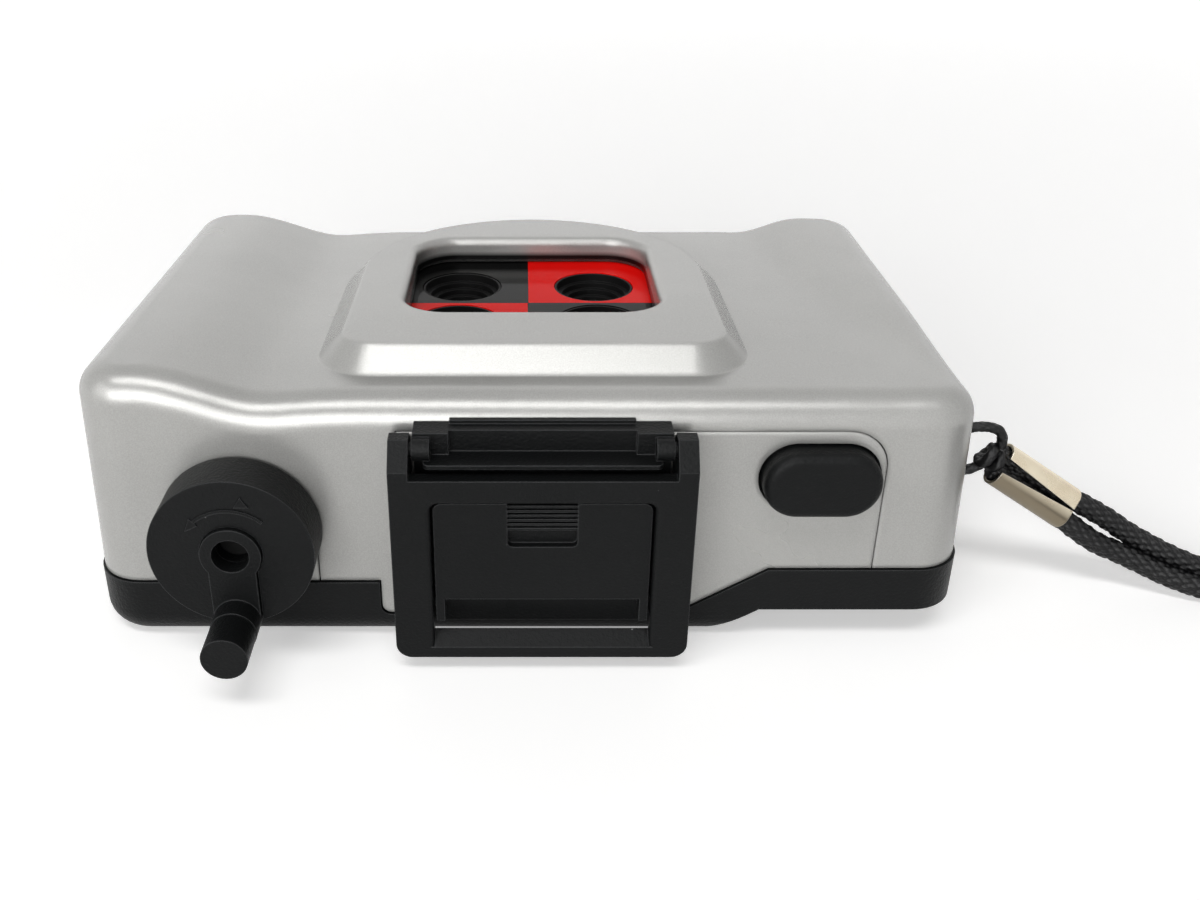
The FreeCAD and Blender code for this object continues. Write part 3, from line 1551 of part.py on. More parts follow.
ear = [
    ("top - lid_face", "lid_high - ear_bevel"),
    ("top - lid_face", "lid_hinge_level - ear_bevel"),
    ("lid_hinge_y - ear_front", "lid_hinge_level + ear_top"),
    ("lid_hinge_y + ear_back", "lid_hinge_level + ear_top"),
    ("lid_hinge_y + ear_back + ear_bevel", "lid_hinge_level"),
    ("lid_hinge_y + ear_back + ear_bevel", "lid_high - ear_bevel"),
]
lid_parts, lid_bores = [lid, sill], []
for side, way in sides:
    a, b = ("lid_width / 2 - lid_skirt", "lid_width / 2")
    a, b = (a, b) if way == "1" else (b, a)
    lid_parts.append(
        block(
            f"finder_front_skirt_{side}",
            (f"finder_x + ({way}) * ({a})", "top - lid_face + lid_wall / 2", "lid_low + lid_corner"),
            (f"finder_x + ({way}) * ({b})", "top - skirt_gap", "lid_hinge_level - ear_bevel"),
        )
    )
    start = "base_half + play" if way == "1" else "lid_width / 2"
    at = (f"finder_x + ({way}) * ({start})", *lid_axis)
    lid_parts.append(plate(f"finder_front_ear_{side}", "YZ", [ear], at[0], "ear_wall"))
    lid_bores.append(rod(f"finder_front_bore_{side}", "X", at, "lid_pin + slip", "ear_wall"))
node("finder_front_frame", cut("finder_front_frame", join("finder_front_solid", lid_parts), lid_bores))
lid_pin_length = "knuckle_wall + ear_wall * 0.8"
lid_pins = [
    rod(
        "finder_front_pin_left",
        "X",
        ("finder_x - base_half - ear_wall * 0.8", *lid_axis),
        "lid_pin",
        lid_pin_length,
    ),
    rod(
        "finder_front_pin_right",
        "X",
        ("finder_x + base_half - knuckle_wall", *lid_axis),
        "lid_pin",
        lid_pin_length,
    ),
]
node("finder_front_pins", join("finder_front_pins", lid_pins))

sight = "lid_window_half - play"
legs = [
    (f"finder_x - ({sight})", "sight_hinge_level - sight_foot"),
    (f"finder_x - ({sight}) + sight_leg", "sight_hinge_level - sight_foot"),
    (f"finder_x - ({sight}) + sight_leg", "sight_low"),
    (f"finder_x + ({sight}) - sight_leg", "sight_low"),
    (f"finder_x + ({sight}) - sight_leg", "sight_hinge_level - sight_foot"),
    (f"finder_x + ({sight})", "sight_hinge_level - sight_foot"),
    (f"finder_x + ({sight})", "sight_high"),
    (f"finder_x - ({sight})", "sight_high"),
]
panel = plate("finder_rear_face", "XZ", [legs], "top - sight_face + sight_wall", "sight_wall")
high = number("sight_high")
rounded(
    panel,
    "finder_rear_corners",
    "lid_window_corner",
    lambda e: along(e, 1) and close(e.CenterOfMass.z, high),
)
catch = rectangle("finder_x - catch_half", "catch_low", "finder_x + catch_half", "sight_high + play")
pocket(panel, "finder_rear_catch", "XZ", [catch], "top - sight_face", "catch_depth")
low = number("catch_low")
rounded(
    panel,
    "finder_rear_catch_corners",
    "catch_corner",
    lambda e: along(e, 1) and close(e.CenterOfMass.z, low),
)
sight_parts, sight_bores = [panel], []
for side, way in sides:
    start = f"({sight}) - sight_leg" if way == "1" else sight
    at = (f"finder_x + ({way}) * ({start})", *sight_axis)
    sight_parts.append(rod(f"finder_rear_eye_{side}", "X", at, "eye_radius", "sight_leg"))
    low = (at[0], "top - sight_face + sight_wall / 2", "sight_hinge_level - sight_foot")
    high = (f"{at[0]} + sight_leg", "sight_hinge_y", "sight_hinge_level + sight_foot")
    sight_parts.append(block(f"finder_rear_heel_{side}", low, high))
    sight_bores.append(rod(f"finder_rear_bore_{side}", "X", at, "sight_pin + slip", "sight_leg"))
for i in range(counts["catch_ribs"]):
    level = f"catch_low + (sight_high - catch_low) * (rib_start + (1 - rib_start) * {i + 1} / (catch_ribs + 1))"
    sight_parts.append(
        block(
            f"finder_rear_rib_{i}",
            ("finder_x - catch_half", "top - sight_face + catch_rib", f"{level} - catch_rib / 2"),
            ("finder_x + catch_half", "top - sight_face + catch_depth", f"{level} + catch_rib / 2"),
        )
    )
node("finder_rear_frame", cut("finder_rear_frame", join("finder_rear_solid", sight_parts), sight_bores))
pin_length = "sight_leg + play + lug_wall - slip * 2"
rear_pins = [
    rod(
        "finder_rear_pin_left",
        "X",
        ("finder_x - lid_window_half - lug_wall + slip", *sight_axis),
        "sight_pin",
        pin_length,
    ),
    rod(
        "finder_rear_pin_right",
        "X",
        (f"finder_x + ({sight}) - sight_leg + slip", *sight_axis),
        "sight_pin",
        pin_length,
    ),
]
node("finder_rear_pins", join("finder_rear_pins", rear_pins))

# Rewind: a disc with a crank arm let into it, a turning grip, the shaft with its fork and a collar.
axis = ("rewind_axis", "rewind_level")


def on_rewind(name, start, radius, length, x="rewind_axis", z="rewind_level"):
    return rod(name, "Y", (x, start, z), radius, length)


hub_disc = on_rewind("rewind_disc_blank", "crank_face", "crank_radius", "crank_height - crank_gap")
arm_room = block(
    "rewind_disc_arm_room",
    ("rewind_axis - arm_half - pocket_slip", "crank_face", "rewind_level - crank_radius * 2"),
    ("rewind_axis + arm_half + pocket_slip", "crank_face + arm_wall", "rewind_level"),
)
ring_room = on_rewind("rewind_disc_ring_room", "crank_face", "arm_ring + pocket_slip", "arm_wall")
disc_bore = on_rewind("rewind_disc_bore", "crank_face", "crank_bore", "crank_height")
node("rewind_disc", cut("rewind_disc", hub_disc, [arm_room, ring_room, disc_bore]))
arm_parts = [
    on_rewind("crank_arm_ring", "crank_face - arm_ring_rise", "arm_ring", "arm_wall + arm_ring_rise"),
    block(
        "crank_arm_bar",
        ("rewind_axis - arm_half", "crank_face - arm_ring_rise", "grip_level"),
        ("rewind_axis + arm_half", "crank_face + arm_wall", "rewind_level"),
    ),
    on_rewind(
        "crank_arm_end", "crank_face - arm_ring_rise", "arm_half", "arm_wall + arm_ring_rise", z="grip_level"
    ),
    on_rewind("crank_arm_collar", "crank_face - grip_collar", "arm_half", "grip_collar", z="grip_level"),
]
arm_bore = on_rewind("crank_arm_bore", "crank_face - arm_ring_rise", "crank_bore", "arm_wall * 2")
node("crank_arm", cut("crank_arm", join("crank_arm_solid", arm_parts), [arm_bore]))
pin_start = "crank_face - grip_collar - grip_length + grip_skin"
node("grip_pin", on_rewind("grip_pin", pin_start, "grip_pin", "grip_length - grip_skin", z="grip_level"))
grip_start = "crank_face - grip_collar - play / 2 - grip_length"
grip = on_rewind("crank_grip_sleeve", grip_start, "grip_radius", "grip_length", z="grip_level")
grip_bore = on_rewind(
    "crank_grip_bore",
    f"{grip_start} + grip_skin - play",
    "grip_pin + slip",
    "grip_length",
    z="grip_level",
)
node("crank_grip", cut("crank_grip", grip, [grip_bore]))
shaft_parts = [
    on_rewind(
        "rewind_shaft_rod",
        "crank_face + crank_height / 2",
        "rewind_shaft",
        "crank_height / 2 + chamber_start + shaft_past",
    ),
    block(
        "rewind_shaft_fork",
        ("rewind_axis - rewind_shaft * 0.9", "chamber_top", "rewind_level - fork_half"),
        ("rewind_axis + rewind_shaft * 0.9", "chamber_top + fork_reach", "rewind_level + fork_half"),
    ),
]
node("rewind_shaft", join("rewind_shaft", shaft_parts))
collar = on_rewind(
    "rewind_collar_ring", "wall_start - collar_wall - slip", "collar_radius", "collar_wall"
)
collar_bore = on_rewind(
    "rewind_collar_bore", "wall_start - collar_wall - slip", "rewind_shaft + slip", "collar_wall"
)
node("rewind_collar", cut("rewind_collar", collar, [collar_bore]))


# Winder: knurled wheel, take-up spool and the toothed sprocket beside the film gate.
def turning(name, at):
    """An empty body set on its turning axis, drawn in its own frame with Y as the axis."""
    body = doc.addObject("PartDesign::Body", name)
    body.Label = name
    settle(body, at)
    return body


def padded(body, name, outlines, at, thick):
    sketch = sketched(body, name + "_outline", "XZ", outlines, f"({at}) + ({thick})")
    pad = body.newObject("PartDesign::Pad", name)
    pad.Profile = sketch
    bind(pad, "Length", thick)
    doc.recompute()
    return pad


def ringed(body, name, original, sketch, count):
    pattern = body.newObject("PartDesign::PolarPattern", name)
    pattern.Originals = [original]
    pattern.Axis = (sketch, ["N_Axis"])
    pattern.Angle = 360
    bind(pattern, "Occurrences", count)
    body.Tip = pattern
    doc.recompute()
    return pattern


wheel = turning("advance_wheel", ("wheel_x", "top + wheel_start", "wheel_level"))
padded(
    wheel, "advance_wheel_rim", [("0", "0", "wheel_radius"), ("0", "0", "wheel_shaft")], "0", "wheel_wall"
)
notch = [
    ("-wheel_notch", "wheel_radius + wheel_notch"),
    ("0", "wheel_radius - wheel_notch"),
    ("wheel_notch", "wheel_radius + wheel_notch"),
]
first = pocket(wheel, "advance_wheel_notch", "XZ", [notch], "-play", "wheel_wall + play * 2")
ringed(wheel, "advance_wheel_notches", first, first.Profile[0], "wheel_notches")
node("advance_wheel", wheel)

spool = turning("takeup_spool_core", ("wheel_x", "chamber_top + play", "wheel_level"))
core_length = "chamber_base - chamber_top - play * 2"
padded(spool, "takeup_spool_barrel", [("0", "0", "spool_radius")], "0", core_length)
rib_shape = rectangle(
    "-spool_rib / 2", "spool_radius - spool_rib", "spool_rib / 2", "spool_radius + spool_rib"
)
rib = padded(spool, "takeup_spool_rib", [rib_shape], "play", f"{core_length} - play * 2")
ringed(spool, "takeup_spool_ribs", rib, rib.Profile[0], "spool_ribs")
axle = rod(
    "takeup_spool_axle", "Y", (
        "wheel_x", "top + wheel_start", "wheel_level"
    ), "wheel_shaft", "wall_end - top - wheel_start"
)
node("takeup_spool", join("takeup_spool", [spool, axle]))

sprocket_parts = []
for side, way in (("near", "-1"), ("far", "1")):
    at = ("sprocket_x", f"format_y + ({way}) * perforation_offset - sprocket_rim / 2", "sprocket_level")
    rim = turning(f"sprocket_rim_{side}", at)
    padded(rim, f"sprocket_drum_{side}", [("0", "0", "sprocket_radius")], "0", "sprocket_rim")
    tooth_shape = [
        ("-tooth_half", "sprocket_radius - tooth_height"),
        ("tooth_half", "sprocket_radius - tooth_height"),
        ("tooth_half / 2", "sprocket_radius + tooth_height"),
        ("-tooth_half / 2", "sprocket_radius + tooth_height"),
    ]
    tooth = padded(
        rim, f"sprocket_tooth_{side}", [tooth_shape], "tooth_in", "sprocket_rim - tooth_in * 2"
    )
    ringed(rim, f"sprocket_teeth_{side}", tooth, tooth.Profile[0], "sprocket_teeth")
    sprocket_parts.append(rim)
on_axis = ("sprocket_x", "sprocket_level")


def on_sprocket(name, start, radius, length):
    return rod(name, "Y", (on_axis[0], start, on_axis[1]), radius, length)


sprocket_parts.append(on_sprocket("sprocket_core", "chamber_top + play", "sprocket_core", core_length))
journal = "chamber_base - chamber_top + frame_wall * 2 + play"
sprocket_parts.append(on_sprocket("sprocket_journal", "wall_start", "wheel_shaft", journal))
sprocket_parts.append(on_sprocket("sprocket_finger", "wall_end + play", "cam_radius", "dial_wall"))
node("sprocket", join("sprocket", sprocket_parts))

dial = turning("counter_dial", ("dial_x", "wall_end + play", "dial_level"))
padded(
    dial,
    "counter_dial_face",
    [("0", "0", "dial_radius"), ("0", "0", "wheel_shaft + slip")],
    "0",
    "dial_wall",
)
dent = [
    ("-dial_notch", "dial_radius + dial_notch"),
    ("0", "dial_radius - dial_notch"),
    ("dial_notch", "dial_radius + dial_notch"),
]
first = pocket(dial, "counter_dial_notch", "XZ", [dent], "-play", "dial_wall + play * 2")
ringed(dial, "counter_dial_notches", first, first.Profile[0], "dial_teeth")
node("counter_dial", dial)
window_at = ("dial_x", "base - shell_wall", "dial_level + dial_numbers")
node("counter_window", rod("counter_window", "Y", window_at, "dial_window", "shell_wall - pocket_slip"))

release = [
    rod(
        "rewind_release_cap",
        "Y",
        ("release_x", "base - shell_wall - play", "release_level"),
        "release_radius",
        "shell_wall + play - release_in",
    ),
    rod(
        "rewind_release_flange",
        "Y",
        ("release_x", "base - shell_wall - release_flange", "release_level"),
        "release_radius + release_flange",
        "release_flange",
    ),
]
node("rewind_release", join("rewind_release", release))
spring_at = ("release_x", "wall_end + spring_wire", "release_level")
spring_room = "base - shell_wall - release_flange - wall_end - spring_wire * 2"
node(
    "release_spring",
    spring("release_spring", spring_at, "release_radius - spring_wire * 2", "spring_wire", spring_room),
)

# Hinged back: floor, walls, thumb recess, wheel slot, hinge knuckle and catch.
door = plate(
    "back_door_block",
    "XY",
    [rectangle("-half - door_lip", "top - door_lip", "half + door_lip", "base + door_lip")],
    "0",
    "parting_right - fit_gap",
)
inside = "half + door_lip - door_wall"
near, far = "top - door_lip + door_wall", "base + door_lip - door_wall"
room_over = rectangle(f"-({inside})", near, inside, far)
shelf = "thumb_level + door_wall"
pocket(door, "back_door_room", "XY", [room_over], "parting_right", f"parting_right - ({shelf})")
step = "thumb_ramp - door_wall"
recess_end = "top + thumb_depth + door_wall"
room_low = [
    (f"-({inside})", near),
    (step, near),
    (step, recess_end),
    (inside, recess_end),
    (inside, far),
    (f"-({inside})", far),
]
pocket(door, "back_door_well", "XY", [room_low], shelf, f"({shelf}) - door_floor")
side, edge_out = number(inside), number("half + door_lip")
room_corners = (number(near), number(far))
rounded(
    door,
    "back_door_room_corners",
    "corner_radius + door_lip - door_wall",
    lambda e: along(e, 2)
    and close(abs(e.CenterOfMass.x), side)
    and any(close(e.CenterOfMass.y, y) for y in room_corners),
)
rounded(
    door,
    "back_door_corners",
    "corner_radius + door_lip",
    lambda e: along(e, 2) and close(abs(e.CenterOfMass.x), edge_out),
)
rounded(door, "back_door_rim", "door_round", lambda e: close(e.BoundBox.ZMax, 0))
thumb = [
    ("thumb_ramp - 1 / ramp_rise", "-1"),
    ("half * 1.2", "-1"),
    ("half * 1.2", "thumb_level"),
    ("thumb_end", "thumb_level"),
]
pocket(door, "back_door_thumb", "XZ", [thumb], "top - door_wall", "thumb_depth + door_wall")
over = [
    ("-half * 1.2", "parting_left - fit_gap"),
    ("ramp_left", "parting_left - fit_gap"),
    ("ramp_high", "parting_right - fit_gap"),
    ("ramp_high", "parting_right * 2"),
    ("-half * 1.2", "parting_right * 2"),
]
pocket(door, "back_door_step", "XZ", [over], "top * 1.2", "body_height * 1.2")
tongue = [
    ("-tongue_left - fit_gap", "tongue_level - fit_gap"),
    ("ramp_low", "tongue_level - fit_gap"),
    ("ramp_high", "parting_right - fit_gap"),
    ("ramp_high", "parting_right * 2"),
    ("-tongue_left - fit_gap", "parting_right * 2"),
]
pocket(door, "back_door_tongue", "XZ", [tongue], "top - door_wall", "door_wall * 2.5")
left, foot = number("-tongue_left - fit_gap"), number("tongue_level - fit_gap")
rounded(
    door,
    "back_door_tongue_corner",
    "tongue_corner + fit_gap",
    lambda e: close(e.CenterOfMass.x, left) and close(e.CenterOfMass.z, foot),
)
hinge_from = "top + hinge_start + hinge_knuckle + play"
door_parts = [
    door,
    rod(
        "back_door_knuckle",
        "Y",
        ("hinge_x", hinge_from, "parting_right"),
        "hinge_radius",
        "hinge_middle - play * 2",
    ),
    block(
        "back_door_web",
        (f"{inside} + door_wall / 2", hinge_from, "parting_right - hinge_radius"),
        ("hinge_x", f"{hinge_from} + hinge_middle - play * 2", "parting_right - fit_gap"),
    ),
    block(
        "back_door_catch",
        (f"-({inside}) - door_wall / 2", "top + latch_start + latch_tab_start", "door_floor"),
        (
            f"-({inside}) + door_wall",
            "top + latch_start + latch_tab_start + latch_tab",
            "parting_left - fit_gap",
        ),
    ),
]
door_holes = [
    rod(
        "back_door_bore",
        "Y",
        ("hinge_x", hinge_from, "parting_right"),
        "hinge_pin + slip",
        "hinge_middle",
    ),
    block(
        "back_door_slot",
        ("wheel_x - wheel_slot", "top + wheel_start - play", "thumb_level - play"),
        (
            "wheel_x + wheel_slot",
            "top + wheel_start + wheel_wall + play",
            "thumb_level + door_wall + play",
        ),
    ),
]
node("back_door", cut("back_door", join("back_door_solid", door_parts), door_holes))
hinge_length = "hinge_knuckle * 2 + hinge_middle"
node(
    "hinge_pin",
    rod("hinge_pin", "Y", ("hinge_x", "top + hinge_start", "parting_right"), "hinge_pin", hinge_length),
)

latch_face = "-inside_half + pocket_slip * 2"
latch_parts = [
    block(
        "door_latch_plate",
        (latch_face, "top + latch_start", "parting_left + play"),
        (
            f"{latch_face} + latch_wall",
            "top + latch_start + latch_length",
            "latch_level + latch_tab_height",
        ),
    ),
    block(
        "door_latch_tab",
        (
            "-half - latch_proud",
            "top + latch_start + latch_tab_start",
            "latch_level - latch_tab_height / 2",
        ),
        (
            latch_face,
            "top + latch_start + latch_tab_start + latch_tab",
            "latch_level + latch_tab_height / 2",
        ),
    ),
]
node("door_latch", join("door_latch", latch_parts))
pressure = block(
    "pressure_plate",
    ("format_x - pressure_half", "format_y - pressure_reach", "pressure_level"),
    ("format_x + pressure_half", "format_y + pressure_reach", "pressure_level + pressure_wall"),
)
node("pressure_plate", pressure)
leaf_shape = [
    ("-leaf_half", "0"),
    ("-leaf_half", "leaf_wall"),
    ("-leaf_half / 2", "leaf_wall"),
    ("-leaf_half / 4", "pressure_level - door_floor"),
    ("leaf_half / 4", "pressure_level - door_floor"),
    ("leaf_half / 2", "leaf_wall"),
    ("leaf_half", "leaf_wall"),
    ("leaf_half", "0"),
    ("leaf_half / 2 - leaf_wall", "0"),
    ("leaf_half / 4 - leaf_wall", "pressure_level - door_floor - leaf_wall"),
    ("-leaf_half / 4 + leaf_wall", "pressure_level - door_floor - leaf_wall"),
    ("-leaf_half / 2 + leaf_wall", "0"),
]
leaf = plate("pressure_spring", "XZ", [leaf_shape], "leaf_width / 2", "leaf_width")
settle(leaf, ("format_x", "format_y", "door_floor"))
node("pressure_spring", leaf)
seal_near, seal_far = f"{recess_end} + play", f"{far} - corner_radius"
seals = [
    block(
        "light_seal_hinge",
        (f"{inside} - seal_wide", seal_near, "parting_right - seal_deep"),
        (inside, seal_far, "parting_right - seal_wall"),
    ),
    block(
        "light_seal_latch",
        (f"-({inside})", "top + latch_start + latch_length", "door_floor"),
        (f"-({inside}) + seal_wide", seal_far, "door_floor + seal_wall * 3"),
    ),
]
node("light_seals", join("light_seals", seals))


# Screws under the frame's bulkhead and under the lens board.
def screws(name, spots, under, reach):
    parts = []
    for i, (x, y) in enumerate(spots):
        parts.append(rod(f"{name}_{i}_thread", "Z", (x, y, under), "screw_radius", reach))
        head = rod(
            f"{name}_{i}_head",
            "Z",
            (x, y, f"{under} - screw_head_height"),
            "screw_head",
            "screw_head_height",
        )
        drive = block(
            f"{name}_{i}_slot",
            (f"({x}) - screw_head", f"({y}) - screw_slot / 2", f"{under} - screw_head_height"),
            (f"({x}) + screw_head", f"({y}) + screw_slot / 2", f"{under} - screw_head_height / 2"),
        )
        parts.append(cut(f"{name}_{i}_driven", head, [drive]))
    node(name, join(name, parts))


screws("frame_screws", frame_posts, "bulkhead_level", "bulkhead_wall + screw_reach")
screws("board_screws", board_posts, "board_level", "board_wall + screw_hold")


# Wrist strap: a thin loop round the bar, a knot, a metal clamp and a doubled cord that ends in a coil.
def place(*rules):
    return Vector(*[number(r) for r in rules])


def cord_path(name, points, share=None):
    """Straight runs joined by tangent arcs, each as large as its two runs allow."""
    share = share or size("arc_share")
    edges, radii, start = [], [], points[0]
    for before, at, after in zip(points, points[1:], points[2:]):
        inward, onward = (at - before).normalize(), (after - at).normalize()
        half_turn = inward.getAngle(onward) / 2
        back = share * min((at - before).Length, (after - at).Length)
        radii.append(back / math.tan(half_turn))
        first, last = at - inward * back, at + onward * back
        middle = (first + last) / 2
        centre_line = (middle - at).normalize()
        centre = at + centre_line * (radii[-1] / math.cos(half_turn))
        edges.append(Part.LineSegment(start, first).toShape())
        edges.append(Part.Arc(first, centre - centre_line * radii[-1], last).toShape())
        start = last
    edges.append(Part.LineSegment(start, points[-1]).toShape())
    print(f"{name} radii", [round(r, 1) for r in radii], "length", round(sum(e.Length for e in edges), 1))
    return Part.Wire(edges)


def tube(name, path, radius):
    """Round tube along a path, its volume held against its section times its length."""
    first = path.OrderedEdges[0]
    start = first.valueAt(first.FirstParameter)
    heading = first.tangentAt(first.FirstParameter)
    rim = Part.Wire([Part.makeCircle(radius, start, heading)])
    solid = path.makePipeShell([rim], True, False)
    right = math.pi * radius * radius * path.Length
    print(f"{name} volume {solid.Volume:.2f} of {right:.2f}")
    return solid


loop_points = [
    ("clamp_x - loop_in", "clamp_y", "clamp_z + loop_up"),
    ("clamp_x", "clamp_y - loop_in", "strap_level + loop_high"),
    ("half + loop_out", "clamp_y", "strap_level + loop_crest"),
    ("half + loop_near", "top + strap_y", "strap_level + loop_enter"),
    ("bar_back", "top + strap_y", "strap_level + loop_enter"),
    ("bar_back", "top + strap_y", "strap_level - loop_enter"),
    ("half + loop_near", "top + strap_y", "strap_level - loop_enter"),
    ("half + loop_out - loop_in * 3", "clamp_y", "strap_level - loop_enter + loop_in / 2"),
    ("clamp_x - loop_back", "clamp_y", "clamp_z + loop_in"),
]
loop_route = [place(*p) for p in loop_points]
strap_loop = feature(
    "strap_loop", tube("strap_loop", cord_path("strap_loop", loop_route), size("loop_cord") / 2)
)
node("strap_loop", strap_loop)

clamp_start = place("clamp_x", "clamp_y", "clamp_z")
clamp_end = place("clamp_x + clamp_run", "clamp_y", "clamp_z - clamp_fall")
clamp_axis = (clamp_end - clamp_start).normalize()
clamp_length = (clamp_end - clamp_start).Length
lean = Vector(size("clamp_lean_x"), size("clamp_lean_y"), size("clamp_lean_z"))
across = (lean - clamp_axis * lean.dot(clamp_axis)).normalize()
facing_out = across.cross(clamp_axis)


def oval(at, half_width, radius, length):
    """Solid of an oval section across the clamp's axis, from at along the axis."""
    reach = half_width - radius
    a, b = at + across * reach, at - across * reach
    edges = [
        Part.Arc(a + facing_out * radius, a + across * radius, a - facing_out * radius).toShape(),
        Part.LineSegment(a - facing_out * radius, b - facing_out * radius).toShape(),
        Part.Arc(b - facing_out * radius, b - across * radius, b + facing_out * radius).toShape(),
        Part.LineSegment(b + facing_out * radius, a + facing_out * radius).toShape(),
    ]
    return Part.Face(Part.Wire(edges)).extrude(clamp_axis * length)


clamp_half, clamp_round, wall = size("clamp_half"), size("clamp_round"), size("clamp_wall")
outer = oval(clamp_start, clamp_half, clamp_round, clamp_length)
inner = oval(clamp_start, clamp_half - wall, clamp_round - wall, clamp_length)
seam_outline = [
    spot + across * (way * reach) + facing_out * size("clamp_face")
    for spot, way, reach in (
        (clamp_start, -1, size("clamp_open")),
        (clamp_start, 1, size("clamp_open")),
        (clamp_end, 1, size("clamp_shut")),
        (clamp_end, -1, size("clamp_shut")),
    )
]
gap = Part.Face(Part.makePolygon(seam_outline + seam_outline[:1])).extrude(facing_out * (2 * clamp_round))
node("strap_clamp", feature("strap_clamp", outer.cut(inner).cut(gap)))
knot_at = clamp_start - clamp_axis * size("knot_out")
knot = Part.makeSphere(size("knot_radius"), knot_at)
filling = oval(knot_at, clamp_half - wall, clamp_round - wall, clamp_length + size("knot_out"))
node("strap_knot", feature("strap_knot", knot.fuse(filling).removeSplitter()))

# The doubled cord beyond the clamp. The coil turns clockwise, and its two strands join in a small bulb.
cord = size("wrist_cord") / 2
level = cord + size("floor_gap")
spacing = cord + size("coil_gap") / 2
heading = Vector(size("coil_heading_x"), size("coil_heading_y"), 0).normalize()
entry = place("coil_x", "top + coil_y", "0") + Vector(0, 0, level)
leftward = Vector(-heading.y, heading.x, 0)
upper_end, lower_end = entry + leftward * spacing, entry - leftward * spacing
last_run = size("cord_last_run")
upper_route = [
    clamp_end - across * size("strand_apart"),
    place("upper_1_x", "top + upper_1_y", "upper_1_z"),
    place("upper_2_x", "top + upper_2_y", "upper_2_z"),
    upper_end - heading * last_run,
    upper_end,
]
lower_route = [
    clamp_end + across * size("strand_apart"),
    place("lower_1_x", "top + lower_1_y", "lower_1_z"),
    place("lower_2_x", "top + lower_2_y", "lower_2_z"),
    lower_end - heading * last_run,
    lower_end,
]
upper_path, lower_path = cord_path("upper strand", upper_route), cord_path("lower strand", lower_route)
strands = [tube("upper strand", upper_path, cord), tube("lower strand", lower_path, cord)]
node("wrist_cord", feature("wrist_cord", Part.makeCompound(strands)))


def turned(vector, angle):
    c, s = math.cos(angle), math.sin(angle)
    return Vector(c * vector.x - s * vector.y, s * vector.x + c * vector.y, 0)


def coil_arcs():
    """Arcs of the two strands from the entry inwards, then of the bulb: (start, middle, end) each."""
    at, way = Vector(entry), Vector(heading)
    left, right = [], []
    step = (spacing * 2 + size("wrist_cord") + size("coil_gap")) / 4
    bends = [(size("coil_radius") - step * k, math.pi / 2) for k in range(int(size("coil_quarters")))]
    bends.append((size("coil_last_radius"), math.radians(size("coil_last_turn"))))
    for radius, angle in bends:
        side = Vector(-way.y, way.x, 0)
        centre = at - side * radius
        for strand, shift in ((left, spacing), (right, -spacing)):
            arm = side * (radius + shift)
            strand.append([centre + arm, centre + turned(arm, -angle / 2), centre + turned(arm, -angle)])
        at, way = centre + turned(side * radius, -angle), turned(way, -angle)
    side = Vector(-way.y, way.x, 0)
    bulb, neck = size("bulb_radius"), size("bulb_neck")
    ahead = math.sqrt((bulb + neck) ** 2 - (spacing + neck) ** 2)
    middle = at + way * ahead
    swing = math.atan2(ahead, spacing + neck)
    for strand, sign in ((left, 1), (right, -1)):
        centre = at + side * (sign * (spacing + neck))
        arm = side * (-sign * neck)
        strand.append([centre + turned(arm, a * sign) for a in (0, swing / 2, swing)])
    a, b = left[-1][-1] - middle, right[-1][-1] - middle
    sweep = (math.atan2(a.y, a.x) - math.atan2(b.y, b.x)) % (2 * math.pi)
    parts = int(size("bulb_arcs"))
    round_bulb = [
        [middle + turned(a, -sweep * (k + f) / parts) for f in (0, 0.5, 1)] for k in range(parts)
    ]
    return left + round_bulb + [arc[::-1] for arc in right[::-1]]


arcs = coil_arcs()
coil_path = Part.Wire([Part.Arc(*arc).toShape() for arc in arcs])
wound = tube("wrist coil", coil_path, cord)
node("wrist_coil", feature("wrist_coil", wound))

# Least gap of the coil to itself, measured between points spread along its middle line.
spots = coil_path.discretize(int(size("gap_points")))
pitch = coil_path.Length / (len(spots) - 1)
skip = int(size("wrist_cord") * 3 / pitch)
least = min(p.distanceToPoint(q) for i, p in enumerate(spots) for q in spots[i + skip :])
whole = coil_path.Length + upper_path.Length + lower_path.Length
print(
    f"coil gap {least - size('wrist_cord'):.2f}, coil length {coil_path.Length:.1f}, cord length {whole:.1f}"
)

doc.recompute()
bad = [o.Name for o in doc.Objects if "Invalid" in o.State or "Error" in o.State]
if bad:
    raise SystemExit("objects that failed: " + ", ".join(bad))
shapes = {}
for name, item in nodes.items():
    shape = item.Shape
    if shape.isNull() or not shape.isValid() or not shape.Solids:
        raise SystemExit(f"{name} has no sound shape")
    shapes[name] = shape
os.makedirs("parts", exist_ok=True)
for name, shape in shapes.items():
    shape.exportStep(f"parts/{name}.step")
    box = shape.BoundBox
    print(f"{name}: {len(shape.Solids)} solids, {shape.Volume:.0f} mm3, X {box.XMin:.1f} {box.XMax:.1f}",
          f"Y {box.YMin:.1f} {box.YMax:.1f} Z {box.ZMin:.1f} {box.ZMax:.1f}")
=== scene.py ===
import json
import math
import bmesh
import bpy
import numpy as np
from mathutils import Matrix, Vector, noise


